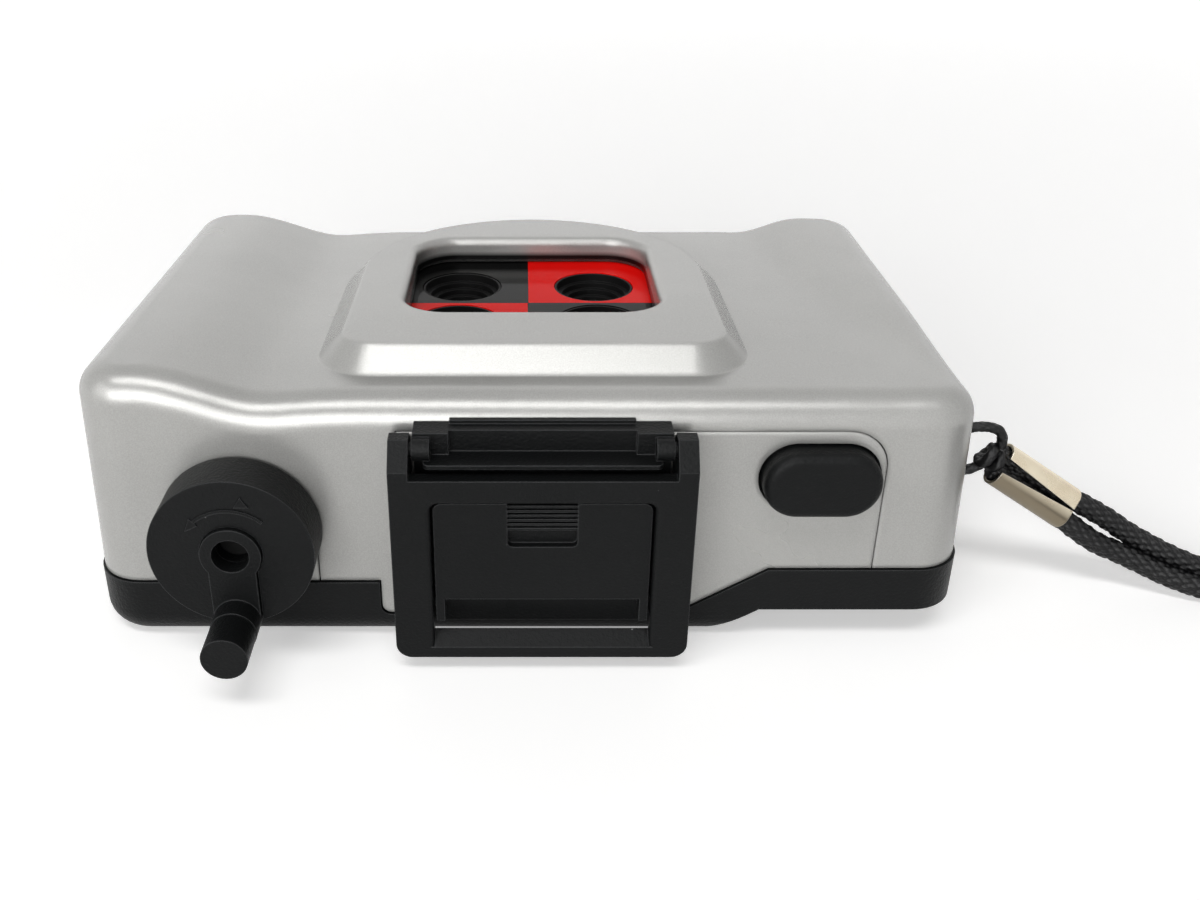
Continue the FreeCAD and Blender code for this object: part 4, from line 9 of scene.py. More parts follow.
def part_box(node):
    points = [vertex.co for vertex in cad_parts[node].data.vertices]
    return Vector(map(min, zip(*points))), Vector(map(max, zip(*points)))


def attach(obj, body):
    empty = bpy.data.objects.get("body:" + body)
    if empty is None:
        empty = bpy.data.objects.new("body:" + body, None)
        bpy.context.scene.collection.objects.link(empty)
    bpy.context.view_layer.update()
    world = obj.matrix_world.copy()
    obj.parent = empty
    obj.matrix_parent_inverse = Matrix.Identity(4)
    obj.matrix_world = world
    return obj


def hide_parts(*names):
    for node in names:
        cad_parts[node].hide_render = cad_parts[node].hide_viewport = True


# Looks of the compact four-lens camera: materials, wrist strap, small marks, studio and view.
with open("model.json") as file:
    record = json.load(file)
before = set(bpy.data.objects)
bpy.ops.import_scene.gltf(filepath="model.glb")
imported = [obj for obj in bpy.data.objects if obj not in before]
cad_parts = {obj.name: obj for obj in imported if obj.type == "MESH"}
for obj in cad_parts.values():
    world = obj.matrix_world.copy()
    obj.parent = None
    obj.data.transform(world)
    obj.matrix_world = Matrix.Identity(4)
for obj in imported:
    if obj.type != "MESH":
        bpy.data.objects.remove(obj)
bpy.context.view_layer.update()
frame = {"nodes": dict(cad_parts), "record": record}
scene = bpy.context.scene


# The photograph's view: a low three-quarter look down on the camera's top side.
photoView = {
    "place": (-0.00077, -0.14615, 0.0888),
    "tilt": 63.5,
    "lens": 35.79,
    "shift": (0.0654, -0.0458),
}


def makeCamera(view):
    data = bpy.data.cameras.new("photoCamera")
    data.sensor_width, data.lens = 36.0, view["lens"]
    data.shift_x, data.shift_y = view["shift"]
    data.clip_start, data.clip_end = 0.005, 20.0
    camera = bpy.data.objects.new("photoCamera", data)
    scene.collection.objects.link(camera)
    camera.location = view["place"]
    camera.rotation_euler = (math.radians(view["tilt"]), 0.0, 0.0)
    scene.camera = camera


makeCamera(photoView)
print("camera ready")


# Wrist cord: one doubled cord from the clamp to the coil and back, as one spline's control points.
cordShape = {
    "diameter": 0.00275,
    "upper": [
        (0.067375, -0.019475, 0.011308),
        (0.0718, -0.01998, 0.00908),
        (0.0748, -0.02055, 0.0069),
        (0.0820, -0.02275, 0.0037),
        (0.090765, -0.023955, 0.001395),
        (0.099894, -0.026198, 0.001395),
    ],
    "lower": [
        (0.066025, -0.020425, 0.009292),
        (0.0701, -0.02138, 0.00620),
        (0.07348, -0.02148, 0.00492),
        (0.0818, -0.02435, 0.0016),
        (0.089978, -0.02716, 0.001395),
        (0.099106, -0.029402, 0.001395),
    ],
    "entry": (0.0995, -0.0278),
    "heading": (0.971, -0.2385),
    "level": 0.001395,
    "spacing": 0.00165,
    "turns": [(0.016, 90.0), (0.014350, 90.0), (0.012700, 90.0), (0.006, 105.0)],
    "bulb": 0.0055,
    "neck": 0.0055,
    "step": 22.5,
}


def unit(v):
    v = np.asarray(v, float)
    return v / np.linalg.norm(v)


def swung(v, angle):
    c, s = math.cos(angle), math.sin(angle)
    return np.array([c * v[0] - s * v[1], s * v[0] + c * v[1]])


# Corners of the outline that an arc touches, a few per quarter turn.
def arcCorners(centre, arm, angle, step):
    count = max(2, round(abs(angle) / math.radians(step)))
    part = angle / count
    return [centre + swung(arm, part * (k + 0.5)) / math.cos(part / 2) for k in range(count)]


# The coil as two outlines side by side through the turns, joined by a wide bend at the far end.
def coilPoints(shape):
    at, way = np.array(shape["entry"]), unit(shape["heading"])
    spacing, step = shape["spacing"], shape["step"]
    left, right = [], []
    for radius, degrees in shape["turns"]:
        angle = math.radians(degrees)
        side = np.array([-way[1], way[0]])
        centre = at - side * radius
        left += arcCorners(centre, side * (radius + spacing), -angle, step)
        right += arcCorners(centre, side * (radius - spacing), -angle, step)
        at, way = centre + swung(side * radius, -angle), swung(way, -angle)
    side = np.array([-way[1], way[0]])
    bulb, neck = shape["bulb"], shape["neck"]
    ahead = math.sqrt((bulb + neck) ** 2 - (spacing + neck) ** 2)
    middle = at + way * ahead
    swing = math.atan2(ahead, spacing + neck)
    left += arcCorners(at + side * (spacing + neck), -side * neck, swing, step)
    right += arcCorners(at - side * (spacing + neck), side * neck, -swing, step)
    arm = (at + side * (spacing + neck) - middle) / (bulb + neck) * bulb
    other = (at - side * (spacing + neck) - middle) / (bulb + neck) * bulb
    sweep = (math.atan2(arm[1], arm[0]) - math.atan2(other[1], other[0])) % (2 * math.pi)
    flat = left + arcCorners(middle, arm, -sweep, step) + right[::-1]
    return [(p[0], p[1], shape["level"]) for p in flat]


# The line of one open spline, from its control points.
def route(name, points, fineness=12):
    data = bpy.data.curves.new(name, "CURVE")
    data.dimensions = "3D"
    spline = data.splines.new("NURBS")
    spline.points.add(len(points) - 1)
    for control, p in zip(spline.points, points):
        control.co = (*p, 1.0)
    spline.order_u = 3
    spline.use_endpoint_u = True
    spline.resolution_u = fineness
    holder = bpy.data.objects.new(name, data)
    scene.collection.objects.link(holder)
    bpy.context.view_layer.update()
    mesh = bpy.data.meshes.new_from_object(holder)
    line = np.array([v.co for v in mesh.vertices])
    bpy.data.objects.remove(holder)
    bpy.data.meshes.remove(mesh)
    return line


# A line's points set again at even gaps, and its length.
def respaced(line, gap):
    runs = np.linalg.norm(np.diff(line, axis=0), axis=1)
    reach = np.concatenate([[0.0], np.cumsum(runs)])
    count = max(2, int(round(reach[-1] / gap)) + 1)
    marks = np.linspace(0.0, reach[-1], count)
    return np.column_stack([np.interp(marks, reach, line[:, k]) for k in range(3)]), reach[-1]


# Two directions across the line at each point, carried along without twist.
def carried(line):
    ways = np.gradient(line, axis=0)
    ways /= np.linalg.norm(ways, axis=1)[:, None]
    first = np.cross(ways[0], (0.0, 0.0, 1.0))
    across = [unit(first)]
    for way in ways[1:]:
        side = across[-1] - way * float(across[-1] @ way)
        across.append(unit(side))
    across = np.array(across)
    return across, np.cross(ways, across)


# One piece from parts that each have points, faces and a UV place for each face corner.
def meshPiece(name, parts, smooth=True):
    mesh = bpy.data.meshes.new(name)
    verts, faces, uvs = [], [], []
    for points, sides, places in parts:
        start = len(verts)
        verts += [tuple(p) for p in points]
        faces += [tuple(start + k for k in side) for side in sides]
        uvs.append(np.asarray(places, np.float32).reshape(-1))
    mesh.from_pydata(verts, [], faces)
    mesh.uv_layers.new(name="UVMap").data.foreach_set("uv", np.concatenate(uvs))
    mesh.polygons.foreach_set("use_smooth", [smooth] * len(mesh.polygons))
    mesh.update()
    piece = bpy.data.objects.new(name, mesh)
    scene.collection.objects.link(piece)
    return piece


# A round plaited cord along a line: pairs of carriers that pass over and under each other.
def plait(line, braid):
    points, reach = respaced(line, braid["gap"])
    across, up = carried(points)
    rings, sides = len(points), braid["sides"]
    turn = np.arange(sides) / sides
    run = np.linspace(0.0, reach, rings)
    u, v = np.meshgrid(turn, run)
    a = u * braid["carriers"] + v / braid["pitch"]
    b = u * braid["carriers"] - v / braid["pitch"]
    overA = (np.floor(a) + np.floor(b)) % 2 == 0
    fa, fb = np.abs(a % 1.0 - 0.5) * 2, np.abs(b % 1.0 - 0.5) * 2
    width = np.where(overA, fb, fa)
    length = np.where(overA, fa, fb)
    relief = np.sqrt(np.clip(1 - width ** 2, 0, 1) * (1 - braid["round"] * length ** 2))
    radius = braid["radius"] - braid["deep"] * (1 - relief)
    angle = u * 2 * math.pi
    ring = across[:, None, :] * np.cos(angle)[..., None]
    ring = ring + up[:, None, :] * np.sin(angle)[..., None]
    verts = (points[:, None, :] + ring * radius[..., None]).reshape(-1, 3)
    i, k = np.meshgrid(np.arange(rings - 1), np.arange(sides), indexing="ij")
    nxt = (k + 1) % sides
    near, far = i * sides, (i + 1) * sides
    faces = np.stack([near + k, near + nxt, far + nxt, far + k], -1).reshape(-1, 4)
    low, high = k / sides, (k + 1) / sides
    here, there = run[i], run[i + 1]
    uvs = np.stack([np.stack([low, here], -1), np.stack([high, here], -1),
                    np.stack([high, there], -1), np.stack([low, there], -1)], 2).reshape(-1, 2)
    caps = [tuple(range(sides))[::-1], tuple((rings - 1) * sides + k for k in range(sides))]
    extra = np.zeros((2 * sides, 2))
    return verts, list(map(tuple, faces)) + caps, np.concatenate([uvs, extra])


cordBraid = {
    "radius": 0.00142, "deep": 0.00042, "carriers": 8, "pitch": 0.0018,
    "gap": 0.00014, "sides": 48, "round": 0.85,
}
loopBraid = {
    "radius": 0.00066, "deep": 0.00016, "carriers": 4, "pitch": 0.0013,
    "gap": 0.0001, "sides": 28, "round": 0.6,
}

cordPoints = cordShape["upper"] + coilPoints(cordShape) + cordShape["lower"][::-1]
cordLine = respaced(route("cordRoute", cordPoints), cordBraid["gap"])[0]
wristCord = meshPiece("wristCord", [plait(cordLine, cordBraid)])

loopPoints = [
    (0.0571, -0.01995, 0.0189), (0.0573, -0.02015, 0.0210), (0.0546, -0.01995, 0.0219),
    (0.0511, -0.01925, 0.0206), (0.0477, -0.01925, 0.0206), (0.0477, -0.01925, 0.0154),
    (0.0511, -0.01925, 0.0154), (0.0540, -0.01995, 0.0155), (0.0554, -0.01995, 0.0168),
]
loopLine = route("loopRoute", loopPoints, 24)
strapLoop = meshPiece("strapLoop", [plait(loopLine, loopBraid)])

# Knot of the loop's thin cord in front of the clamp, and the two strands inside the clamp.
knotShape = {
    "centre": (0.0561, -0.0198, 0.01745),
    "axis": (0.8307, 0.0, -0.5567),
    "turns": 2.6,
    "perTurn": 13,
    "radius": 0.00112,
    "uneven": 0.00018,
    "waves": 1.7,
    "waveStart": 1.1,
    "long": 0.00075,
    "rows": 2.2,
    "rowStart": 0.6,
    "tail": 0.0045,
    "inside": 0.0118,
    "middle": (0.0667, -0.01995, 0.0103),
    "together": 0.16,
    "steps": 40,
}


def knotPoints(shape):
    axis = unit(shape["axis"])
    side = unit(np.cross(axis, (0.0, 1.0, 0.0)))
    across = np.cross(axis, side)
    count = int(shape["turns"] * shape["perTurn"])
    points = []
    for k in range(count + 1):
        share = k / count
        turn = 2 * math.pi * shape["turns"] * share
        wave = math.sin(turn * shape["waves"] + shape["waveStart"])
        radius = shape["radius"] + shape["uneven"] * wave
        along = shape["long"] * math.sin(math.pi * (share * shape["rows"] - shape["rowStart"]))
        ring = side * math.cos(turn) + across * math.sin(turn)
        points.append(np.array(shape["centre"]) + ring * radius + axis * along)
    points.append(np.array(shape["centre"]) + axis * shape["tail"] * 0.5)
    points.append(np.array(shape["centre"]) + axis * shape["tail"])
    return points


# A strand's straight run inside the clamp, from near the cord's end back to the knot.
def strandLine(start, shape):
    start = np.array(start) + (np.array(shape["middle"]) - start) * shape["together"]
    back = start - unit(shape["axis"]) * shape["inside"]
    shares = np.linspace(0.0, 1.0, shape["steps"])
    return np.array([start + (back - start) * share for share in shares])


strandBraid = dict(cordBraid, radius=0.0012)
strapKnot = meshPiece("strapKnot", [
    plait(route("knotRoute", knotPoints(knotShape), 8), loopBraid),
    plait(strandLine(cordShape["upper"][0], knotShape), strandBraid),
    plait(strandLine(cordShape["lower"][0], knotShape), strandBraid),
])
print("cords ready")


# Raised marks on the rewind disc: an arrow along an arc and a triangle.
rewindMark = {
    "radius": 0.0055, "width": 0.00042, "start": 131.0, "end": 47.0, "steps": 40,
    "head": 0.0012, "headLong": 1.4, "headWide": 0.55,
    "triangle": (0.0017, 0.0064), "triangleSize": 0.00085, "triangleFoot": 0.6,
    "proud": 0.00014, "sink": 0.3, "lean": 0.06,
}


# Middle of a node's face that looks along -Y.
def nearFace(node):
    low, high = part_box(node)
    return (low[0] + high[0]) / 2, low[1], (low[2] + high[2]) / 2


# A flat outline in X and Z that stands a little proud of a face at Y, with leaning sides.
def raisedShape(outline, place, mark):
    x, y, z = place
    n = len(outline)
    middle = np.mean(outline, axis=0)
    foot = [(x + u, y + mark["proud"] * mark["sink"], z + v) for u, v in outline]
    crest = []
    for u, v in outline:
        way = np.array([u, v]) - middle
        u, v = np.array([u, v]) - way * mark["lean"]
        crest.append((x + u, y - mark["proud"], z + v))
    faces = [tuple(range(2 * n - 1, n - 1, -1))]
    faces += [(k, (k + 1) % n, n + (k + 1) % n, n + k) for k in range(n)]
    corners = sum(len(face) for face in faces)
    return foot + crest, faces, np.zeros((corners, 2))


# A place on a circle, in the disc's own X and Z.
def onArc(radius, turn):
    return radius * math.cos(turn), radius * math.sin(turn)


def markPiece(mark):
    radius, half = mark["radius"], mark["width"] / 2
    inner, outer = radius - half, radius + half
    turns = np.radians(np.linspace(mark["start"], mark["end"], mark["steps"]))
    outlines = [
        [onArc(inner, a), onArc(inner, b), onArc(outer, b), onArc(outer, a)]
        for a, b in zip(turns[:-1], turns[1:])
    ]
    tip = turns[0] + mark["head"] * mark["headLong"] / radius
    wing = mark["head"] * mark["headWide"]
    wings = [onArc(reach, turns[0]) for reach in (radius - wing, radius + wing)]
    outlines.append([onArc(radius, tip), *wings])
    u, v = mark["triangle"]
    size = mark["triangleSize"]
    foot = v - size * mark["triangleFoot"]
    outlines.append([(u - size, foot), (u + size, foot), (u, v + size)])
    place = nearFace("rewind_disc")
    parts = [raisedShape(outline, place, mark) for outline in outlines]
    return meshPiece("rewindMark", parts, smooth=False)


discMark = markPiece(rewindMark)


# Geometry Nodes pieces: each tree has named inputs, and its result becomes a plain mesh.
def pieceTree(name, inputs):
    tree = bpy.data.node_groups.new(name, "GeometryNodeTree")
    tree.interface.new_socket("Geometry", in_out="OUTPUT", socket_type="NodeSocketGeometry")
    for label, kind in inputs.items():
        tree.interface.new_socket(label, in_out="INPUT", socket_type="NodeSocket" + kind)
    return tree, tree.nodes.new("NodeGroupInput"), tree.nodes.new("NodeGroupOutput")


# Nodes one after another: each is its kind, its fixed settings and its links by input name.
# A link is an input of the tree, by name, or the first output of an earlier node, by number.
def chained(tree, source, steps):
    made = []
    for kind, settings, links in steps:
        item = tree.nodes.new(kind)
        for key, value in settings.items():
            if hasattr(item, key):
                setattr(item, key, value)
            else:
                item.inputs[key].default_value = value
        for key, origin in links.items():
            start = source.outputs[origin] if isinstance(origin, str) else made[origin].outputs[0]
            tree.links.new(start, item.inputs[key])
        made.append(item)
    return made


def treePiece(name, tree, values):
    holder = bpy.data.objects.new(name + "Nodes", bpy.data.meshes.new(name + "Nodes"))
    scene.collection.objects.link(holder)
    modifier = holder.modifiers.new("nodes", "NODES")
    modifier.node_group = tree
    for item in tree.interface.items_tree:
        if item.in_out == "INPUT":
            modifier[item.identifier] = values[item.name]
    bpy.context.view_layer.update()
    drawn = holder.evaluated_get(bpy.context.evaluated_depsgraph_get())
    mesh = bpy.data.meshes.new_from_object(drawn)
    bpy.data.objects.remove(holder)
    mesh.name = name
    piece = bpy.data.objects.new(name, mesh)
    scene.collection.objects.link(piece)
    return piece


# Bars that point outwards all round a circle, on a face that looks along +Y.
def ringTree(paint):
    tree, source, target = pieceTree("dialTicks", {
        "Count": "Int", "Radius": "Float", "Bar": "Vector", "Place": "Vector", "Turn": "Rotation"})
    steps = chained(tree, source, [
        ("GeometryNodeMeshCircle", {}, {"Vertices": "Count", "Radius": "Radius"}),
        ("GeometryNodeMeshCube", {}, {"Size": "Bar"}),
        ("GeometryNodeInputPosition", {}, {}),
        ("FunctionNodeAlignRotationToVector", {"axis": "Y"}, {"Vector": 2}),
        ("GeometryNodeInstanceOnPoints", {}, {"Points": 0, "Instance": 1, "Rotation": 3}),
        ("GeometryNodeRealizeInstances", {}, {"Geometry": 4}),
        ("GeometryNodeTransform", {}, {"Geometry": 5, "Translation": "Place", "Rotation": "Turn"}),
        ("GeometryNodeSetMaterial", {"Material": paint}, {"Geometry": 6}),
    ])
    tree.links.new(steps[-1].outputs[0], target.inputs[0])
    return tree


# Rows of shallow domes over a flat face.
def domeTree(paint):
    tree, source, target = pieceTree("plateDomes", {
        "Length": "Float", "Width": "Float", "Columns": "Int", "Rows": "Int", "Dome": "Float",
        "Squash": "Vector", "Place": "Vector"})
    steps = chained(tree, source, [
        ("GeometryNodeMeshGrid", {}, {
            "Size X": "Length", "Size Y": "Width", "Vertices X": "Columns", "Vertices Y": "Rows"}),
        ("GeometryNodeMeshUVSphere", {"Segments": 10, "Rings": 6}, {"Radius": "Dome"}),
        ("GeometryNodeInstanceOnPoints", {}, {"Points": 0, "Instance": 1, "Scale": "Squash"}),
        ("GeometryNodeRealizeInstances", {}, {"Geometry": 2}),
        ("GeometryNodeTransform", {}, {"Geometry": 3, "Translation": "Place"}),
        ("GeometryNodeSetMaterial", {"Material": paint}, {"Geometry": 4}),
    ])
    tree.links.new(steps[-1].outputs[0], target.inputs[0])
    return tree


# Materials: each has its colour, grain, wear and gloss from nodes on object coordinates; edges
# also take a painted highlight, and some take painted shade past a plane.
def sockets(tree, kind, **values):
    item = tree.nodes.new(kind)
    for key, value in values.items():
        if hasattr(item, key):
            setattr(item, key, value)
        else:
            item.inputs[key].default_value = value
    return item


def mixedColour(tree, share, first, second):
    mix = tree.nodes.new("ShaderNodeMix")
    mix.data_type = "RGBA"
    tree.links.new(share, mix.inputs[0])
    for value, socket in ((first, mix.inputs[6]), (second, mix.inputs[7])):
        if hasattr(value, "is_linked"):
            tree.links.new(value, socket)
        else:
            socket.default_value = (*value, 1.0)
    return mix.outputs[2]


def ranged(tree, value, low, high, toLow, toHigh):
    item = tree.nodes.new("ShaderNodeMapRange")
    for index, number in enumerate((low, high, toLow, toHigh)):
        item.inputs[index + 1].default_value = number
    tree.links.new(value, item.inputs[0])
    return item.outputs[0]


# Where a noise turns from its first value to its second, and where a bent edge begins to take its
# wear and painted highlight.
noiseBands = {"broad": (0.3, 0.7), "fine": (0.35, 0.65)}
edgeHighlightBand = (0.985, 0.8)
speckStep = 0.01


def multiplied(tree, first, second):
    item = sockets(tree, "ShaderNodeMath", operation="MULTIPLY")
    tree.links.new(first, item.inputs[0])
    tree.links.new(second, item.inputs[1])
    return item.outputs[0]


# How far a place lies past a plane, and only between the limits named for each axis: the share of
# painted shade there.
def borderShare(tree, place, shadeBorder):
    ahead = sockets(tree, "ShaderNodeVectorMath", operation="DOT_PRODUCT")
    tree.links.new(place, ahead.inputs[0])
    ahead.inputs[1].default_value = shadeBorder["way"]
    middle = float(np.dot(shadeBorder["way"], shadeBorder["at"]))
    end = middle + shadeBorder["soft"]
    past = ranged(tree, ahead.outputs["Value"], middle, end, 0.0, shadeBorder["share"])
    for axis, low, high in shadeBorder.get("inside", ()):
        apart = sockets(tree, "ShaderNodeSeparateXYZ")
        tree.links.new(place, apart.inputs[0])
        for limit, operation in ((low, "GREATER_THAN"), (high, "LESS_THAN")):
            held = sockets(tree, "ShaderNodeMath", operation=operation)
            tree.links.new(apart.outputs[axis], held.inputs[0])
            held.inputs[1].default_value = limit
            past = multiplied(tree, past, held.outputs[0])
    return past


# Small round specks of dust in a few of the cells.
def speckShare(tree, place, look):
    cells = sockets(tree, "ShaderNodeTexVoronoi", Scale=look["dustScale"], Randomness=1.0)
    tree.links.new(place, cells.inputs["Vector"])
    size, bare = look["dustSize"], 1 - look["dustShare"]
    near = ranged(tree, cells.outputs["Distance"], size, size * 0.5, 0.0, look["dust"])
    chosen = sockets(tree, "ShaderNodeTexWhiteNoise")
    tree.links.new(cells.outputs["Position"], chosen.inputs["Vector"])
    few = ranged(tree, chosen.outputs["Value"], bare, bare + speckStep, 0.0, 1.0)
    return multiplied(tree, near, few)


def surface(name, look):
    made = bpy.data.materials.new(name)
    made.use_nodes = True
    tree = made.node_tree
    shader = tree.nodes["Principled BSDF"]
    shader.inputs["Metallic"].default_value = look.get("metallic", 0.0)
    shader.inputs["Specular IOR Level"].default_value = look.get("specular", 0.5)
    place = tree.nodes.new("ShaderNodeTexCoord").outputs["Object"]
    grain = sockets(tree, "ShaderNodeTexNoise", Scale=look["grain"], Detail=3.0, Roughness=0.6)
    tree.links.new(place, grain.inputs["Vector"])
    scale = look.get("broad", 40.0)
    broad = sockets(tree, "ShaderNodeTexNoise", Scale=scale, Detail=4.0, Roughness=0.5)
    tree.links.new(place, broad.inputs["Vector"])
    shade = ranged(tree, broad.outputs[0], *noiseBands["broad"], 0.0, 1.0)
    colour = mixedColour(tree, shade, look["dark"], look["light"])
    fine = ranged(tree, grain.outputs[0], *noiseBands["fine"], 0.0, look.get("fleck", 0.0))
    colour = mixedColour(tree, fine, colour, look.get("fleckColour", look["light"]))
    # Painted shade: past the plane the colour turns to the darker shade colour.
    if "shadeBorder" in look:
        past = borderShare(tree, place, look["shadeBorder"])
        colour = mixedColour(tree, past, colour, look["shadeBorder"]["colour"])
    if "dust" in look:
        colour = mixedColour(tree, speckShare(tree, place, look), colour, look["dustColour"])
    deep = look.get("bumpDeep", 0.00003)
    bump = sockets(tree, "ShaderNodeBump", Strength=look["bump"], Distance=deep)
    tree.links.new(grain.outputs[0], bump.inputs["Height"])
    # Painted highlight with wear along edges: where the bevelled normal turns away, the colour
    # lifts to the lighter edge colour; the bevelled normal also rounds the bump.
    if "edge" in look:
        soft = sockets(tree, "ShaderNodeBevel", samples=4, Radius=look["edgeSize"])
        turn = sockets(tree, "ShaderNodeVectorMath", operation="DOT_PRODUCT")
        tree.links.new(soft.outputs[0], turn.inputs[0])
        tree.links.new(tree.nodes.new("ShaderNodeNewGeometry").outputs["Normal"], turn.inputs[1])
        edgeHighlightShare = ranged(tree, turn.outputs["Value"], *edgeHighlightBand, 0.0, look["edge"])
        colour = mixedColour(tree, edgeHighlightShare, colour, look["edgeColour"])
        tree.links.new(soft.outputs[0], bump.inputs["Normal"])
    tree.links.new(colour, shader.inputs["Base Color"])
    rough = ranged(tree, broad.outputs[0], *noiseBands["broad"], *look["rough"])
    tree.links.new(rough, shader.inputs["Roughness"])
    tree.links.new(bump.outputs[0], shader.inputs["Normal"])
    return made, shader


# Painted shade: the lower part of the lens window's inner walls turns near-black, where shade
# falls in the recess.
windowShade = {
    "at": (0.0, 0.0, 0.0307), "way": (0.0, 0.0, -1.0), "soft": 0.0007, "share": 1.0,
    "colour": (0.004, 0.004, 0.004),
    "inside": (("X", -0.0158, 0.0170), ("Y", -0.0129, 0.0174)),
}
# Painted shade: the clamp's lower half is darker, where less light falls on it.
clampLowerShade = {
    "at": (0.0620, -0.0199, 0.0135), "way": (-0.52, -0.364, -0.774), "soft": 0.0016, "share": 0.8,
    "colour": (0.10, 0.075, 0.045),
}
looks = {
    "silver_plastic": {
        "dark": (0.30, 0.299, 0.288), "light": (0.35, 0.349, 0.336), "rough": (0.22, 0.28),
        "metallic": 0.4, "specular": 0.24, "grain": 7000.0, "bump": 0.45,
        "fleck": 0.4, "fleckColour": (0.46, 0.46, 0.445), "shadeBorder": windowShade,
        "edge": 0.5, "edgeSize": 0.0008, "edgeColour": (0.62, 0.62, 0.60),
        "dust": 0.85, "dustScale": 110.0, "dustSize": 0.016, "dustShare": 0.06,
        "dustColour": (0.06, 0.06, 0.06),
    },
    "black_plastic": {
        "dark": (0.0030, 0.0034, 0.0036), "light": (0.0046, 0.0050, 0.0052), "rough": (0.38, 0.46),
        "specular": 0.12, "grain": 2800.0, "bump": 0.8, "bumpDeep": 0.00011,
        "edge": 0.8, "edgeSize": 0.0002, "edgeColour": (0.07, 0.072, 0.074),
        "dust": 0.8, "dustScale": 700.0, "dustSize": 0.07, "dustShare": 0.03,
        "dustColour": (0.4, 0.4, 0.4),
    },
    "inner_black": {
        "dark": (0.0028, 0.0028, 0.0028), "light": (0.005, 0.005, 0.005), "rough": (0.45, 0.6),
        "specular": 0.15, "grain": 4000.0, "bump": 0.4,
        "edge": 0.4, "edgeSize": 0.00012, "edgeColour": (0.025, 0.025, 0.025),
    },
    "red_plastic": {
        "dark": (0.78, 0.004, 0.003), "light": (0.86, 0.006, 0.004), "rough": (0.08, 0.13),
        "specular": 0.02, "grain": 3000.0, "bump": 0.05,
    },
    "glossy_black": {
        "dark": (0.0028, 0.0028, 0.0028), "light": (0.004, 0.004, 0.004), "rough": (0.07, 0.12),
        "specular": 0.04, "grain": 2600.0, "bump": 0.05,
    },
    "steel": {
        "dark": (0.48, 0.48, 0.48), "light": (0.62, 0.62, 0.61), "rough": (0.22, 0.34),
        "metallic": 1.0, "grain": 6000.0, "bump": 0.15,
    },
    "white_plastic": {
        "dark": (0.74, 0.74, 0.71), "light": (0.82, 0.82, 0.79), "rough": (0.4, 0.5),
        "grain": 5000.0, "bump": 0.1,
    },
    "foam": {
        "dark": (0.012, 0.012, 0.012), "light": (0.024, 0.024, 0.024), "rough": (0.85, 0.95),
        "specular": 0.2, "grain": 3500.0, "bump": 0.9, "bumpDeep": 0.0002,
    },
    "nickel": {
        "dark": (0.62, 0.53, 0.39), "light": (0.76, 0.69, 0.54), "rough": (0.20, 0.34),
        "metallic": 1.0, "grain": 1500.0, "bump": 0.12, "broad": 160.0, "shadeBorder": clampLowerShade,
        "edge": 0.6, "edgeSize": 0.00015, "edgeColour": (0.9, 0.87, 0.8),
        "dust": 0.6, "dustScale": 500.0, "dustSize": 0.08, "dustShare": 0.05,
        "dustColour": (0.10, 0.08, 0.05),
    },
    "woven_cord": {
        "dark": (0.0018, 0.0018, 0.002), "light": (0.0032, 0.0032, 0.0036), "rough": (0.30, 0.38),
        "specular": 0.27, "grain": 12000.0, "bump": 0.5, "bumpDeep": 0.00006,
        "fleck": 0.08, "fleckColour": (0.02, 0.02, 0.021),
    },
}
materials = {name: surface(name, look)[0] for name, look in looks.items()}

clearLook = {
    "dark": (0.9, 0.92, 0.95), "light": (0.95, 0.96, 0.98), "rough": (0.02, 0.05),
    "specular": 0.6, "grain": 900.0, "bump": 0.01, "through": 0.92, "bend": 1.49,
}
materials["clear_plastic"], clearShader = surface("clear_plastic", clearLook)
clearShader.inputs["Transmission Weight"].default_value = clearLook["through"]
clearShader.inputs["IOR"].default_value = clearLook["bend"]

slots = {part["node"]: part["material_slot"] for part in frame["record"]["subparts"]}
glossyNodes = {"checker_plate": "glossy_black"}
for node, item in frame["nodes"].items():
    item.data.materials.clear()
    item.data.materials.append(materials[glossyNodes.get(node, slots[node])])
print("materials ready")

# The counter's scale: a ring of ticks and its numbers, on the dial's face.
dialScale = {
    "ticks": 36, "bar": (0.00012, 0.0007, 0.00006), "radius": 0.0036,
    "numbers": (0, 6, 12, 18, 24, 30), "size": 0.0014, "numberRadius": 0.0049, "proud": 0.00004,
}
dialLow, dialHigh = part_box("counter_dial")
dialMiddle = ((dialLow[0] + dialHigh[0]) / 2, dialHigh[1], (dialLow[2] + dialHigh[2]) / 2)
dialTicks = treePiece("dialTicks", ringTree(materials["inner_black"]), {
    "Count": dialScale["ticks"], "Radius": dialScale["radius"], "Bar": dialScale["bar"],
    "Place": dialMiddle, "Turn": (math.pi / 2, 0.0, 0.0)})


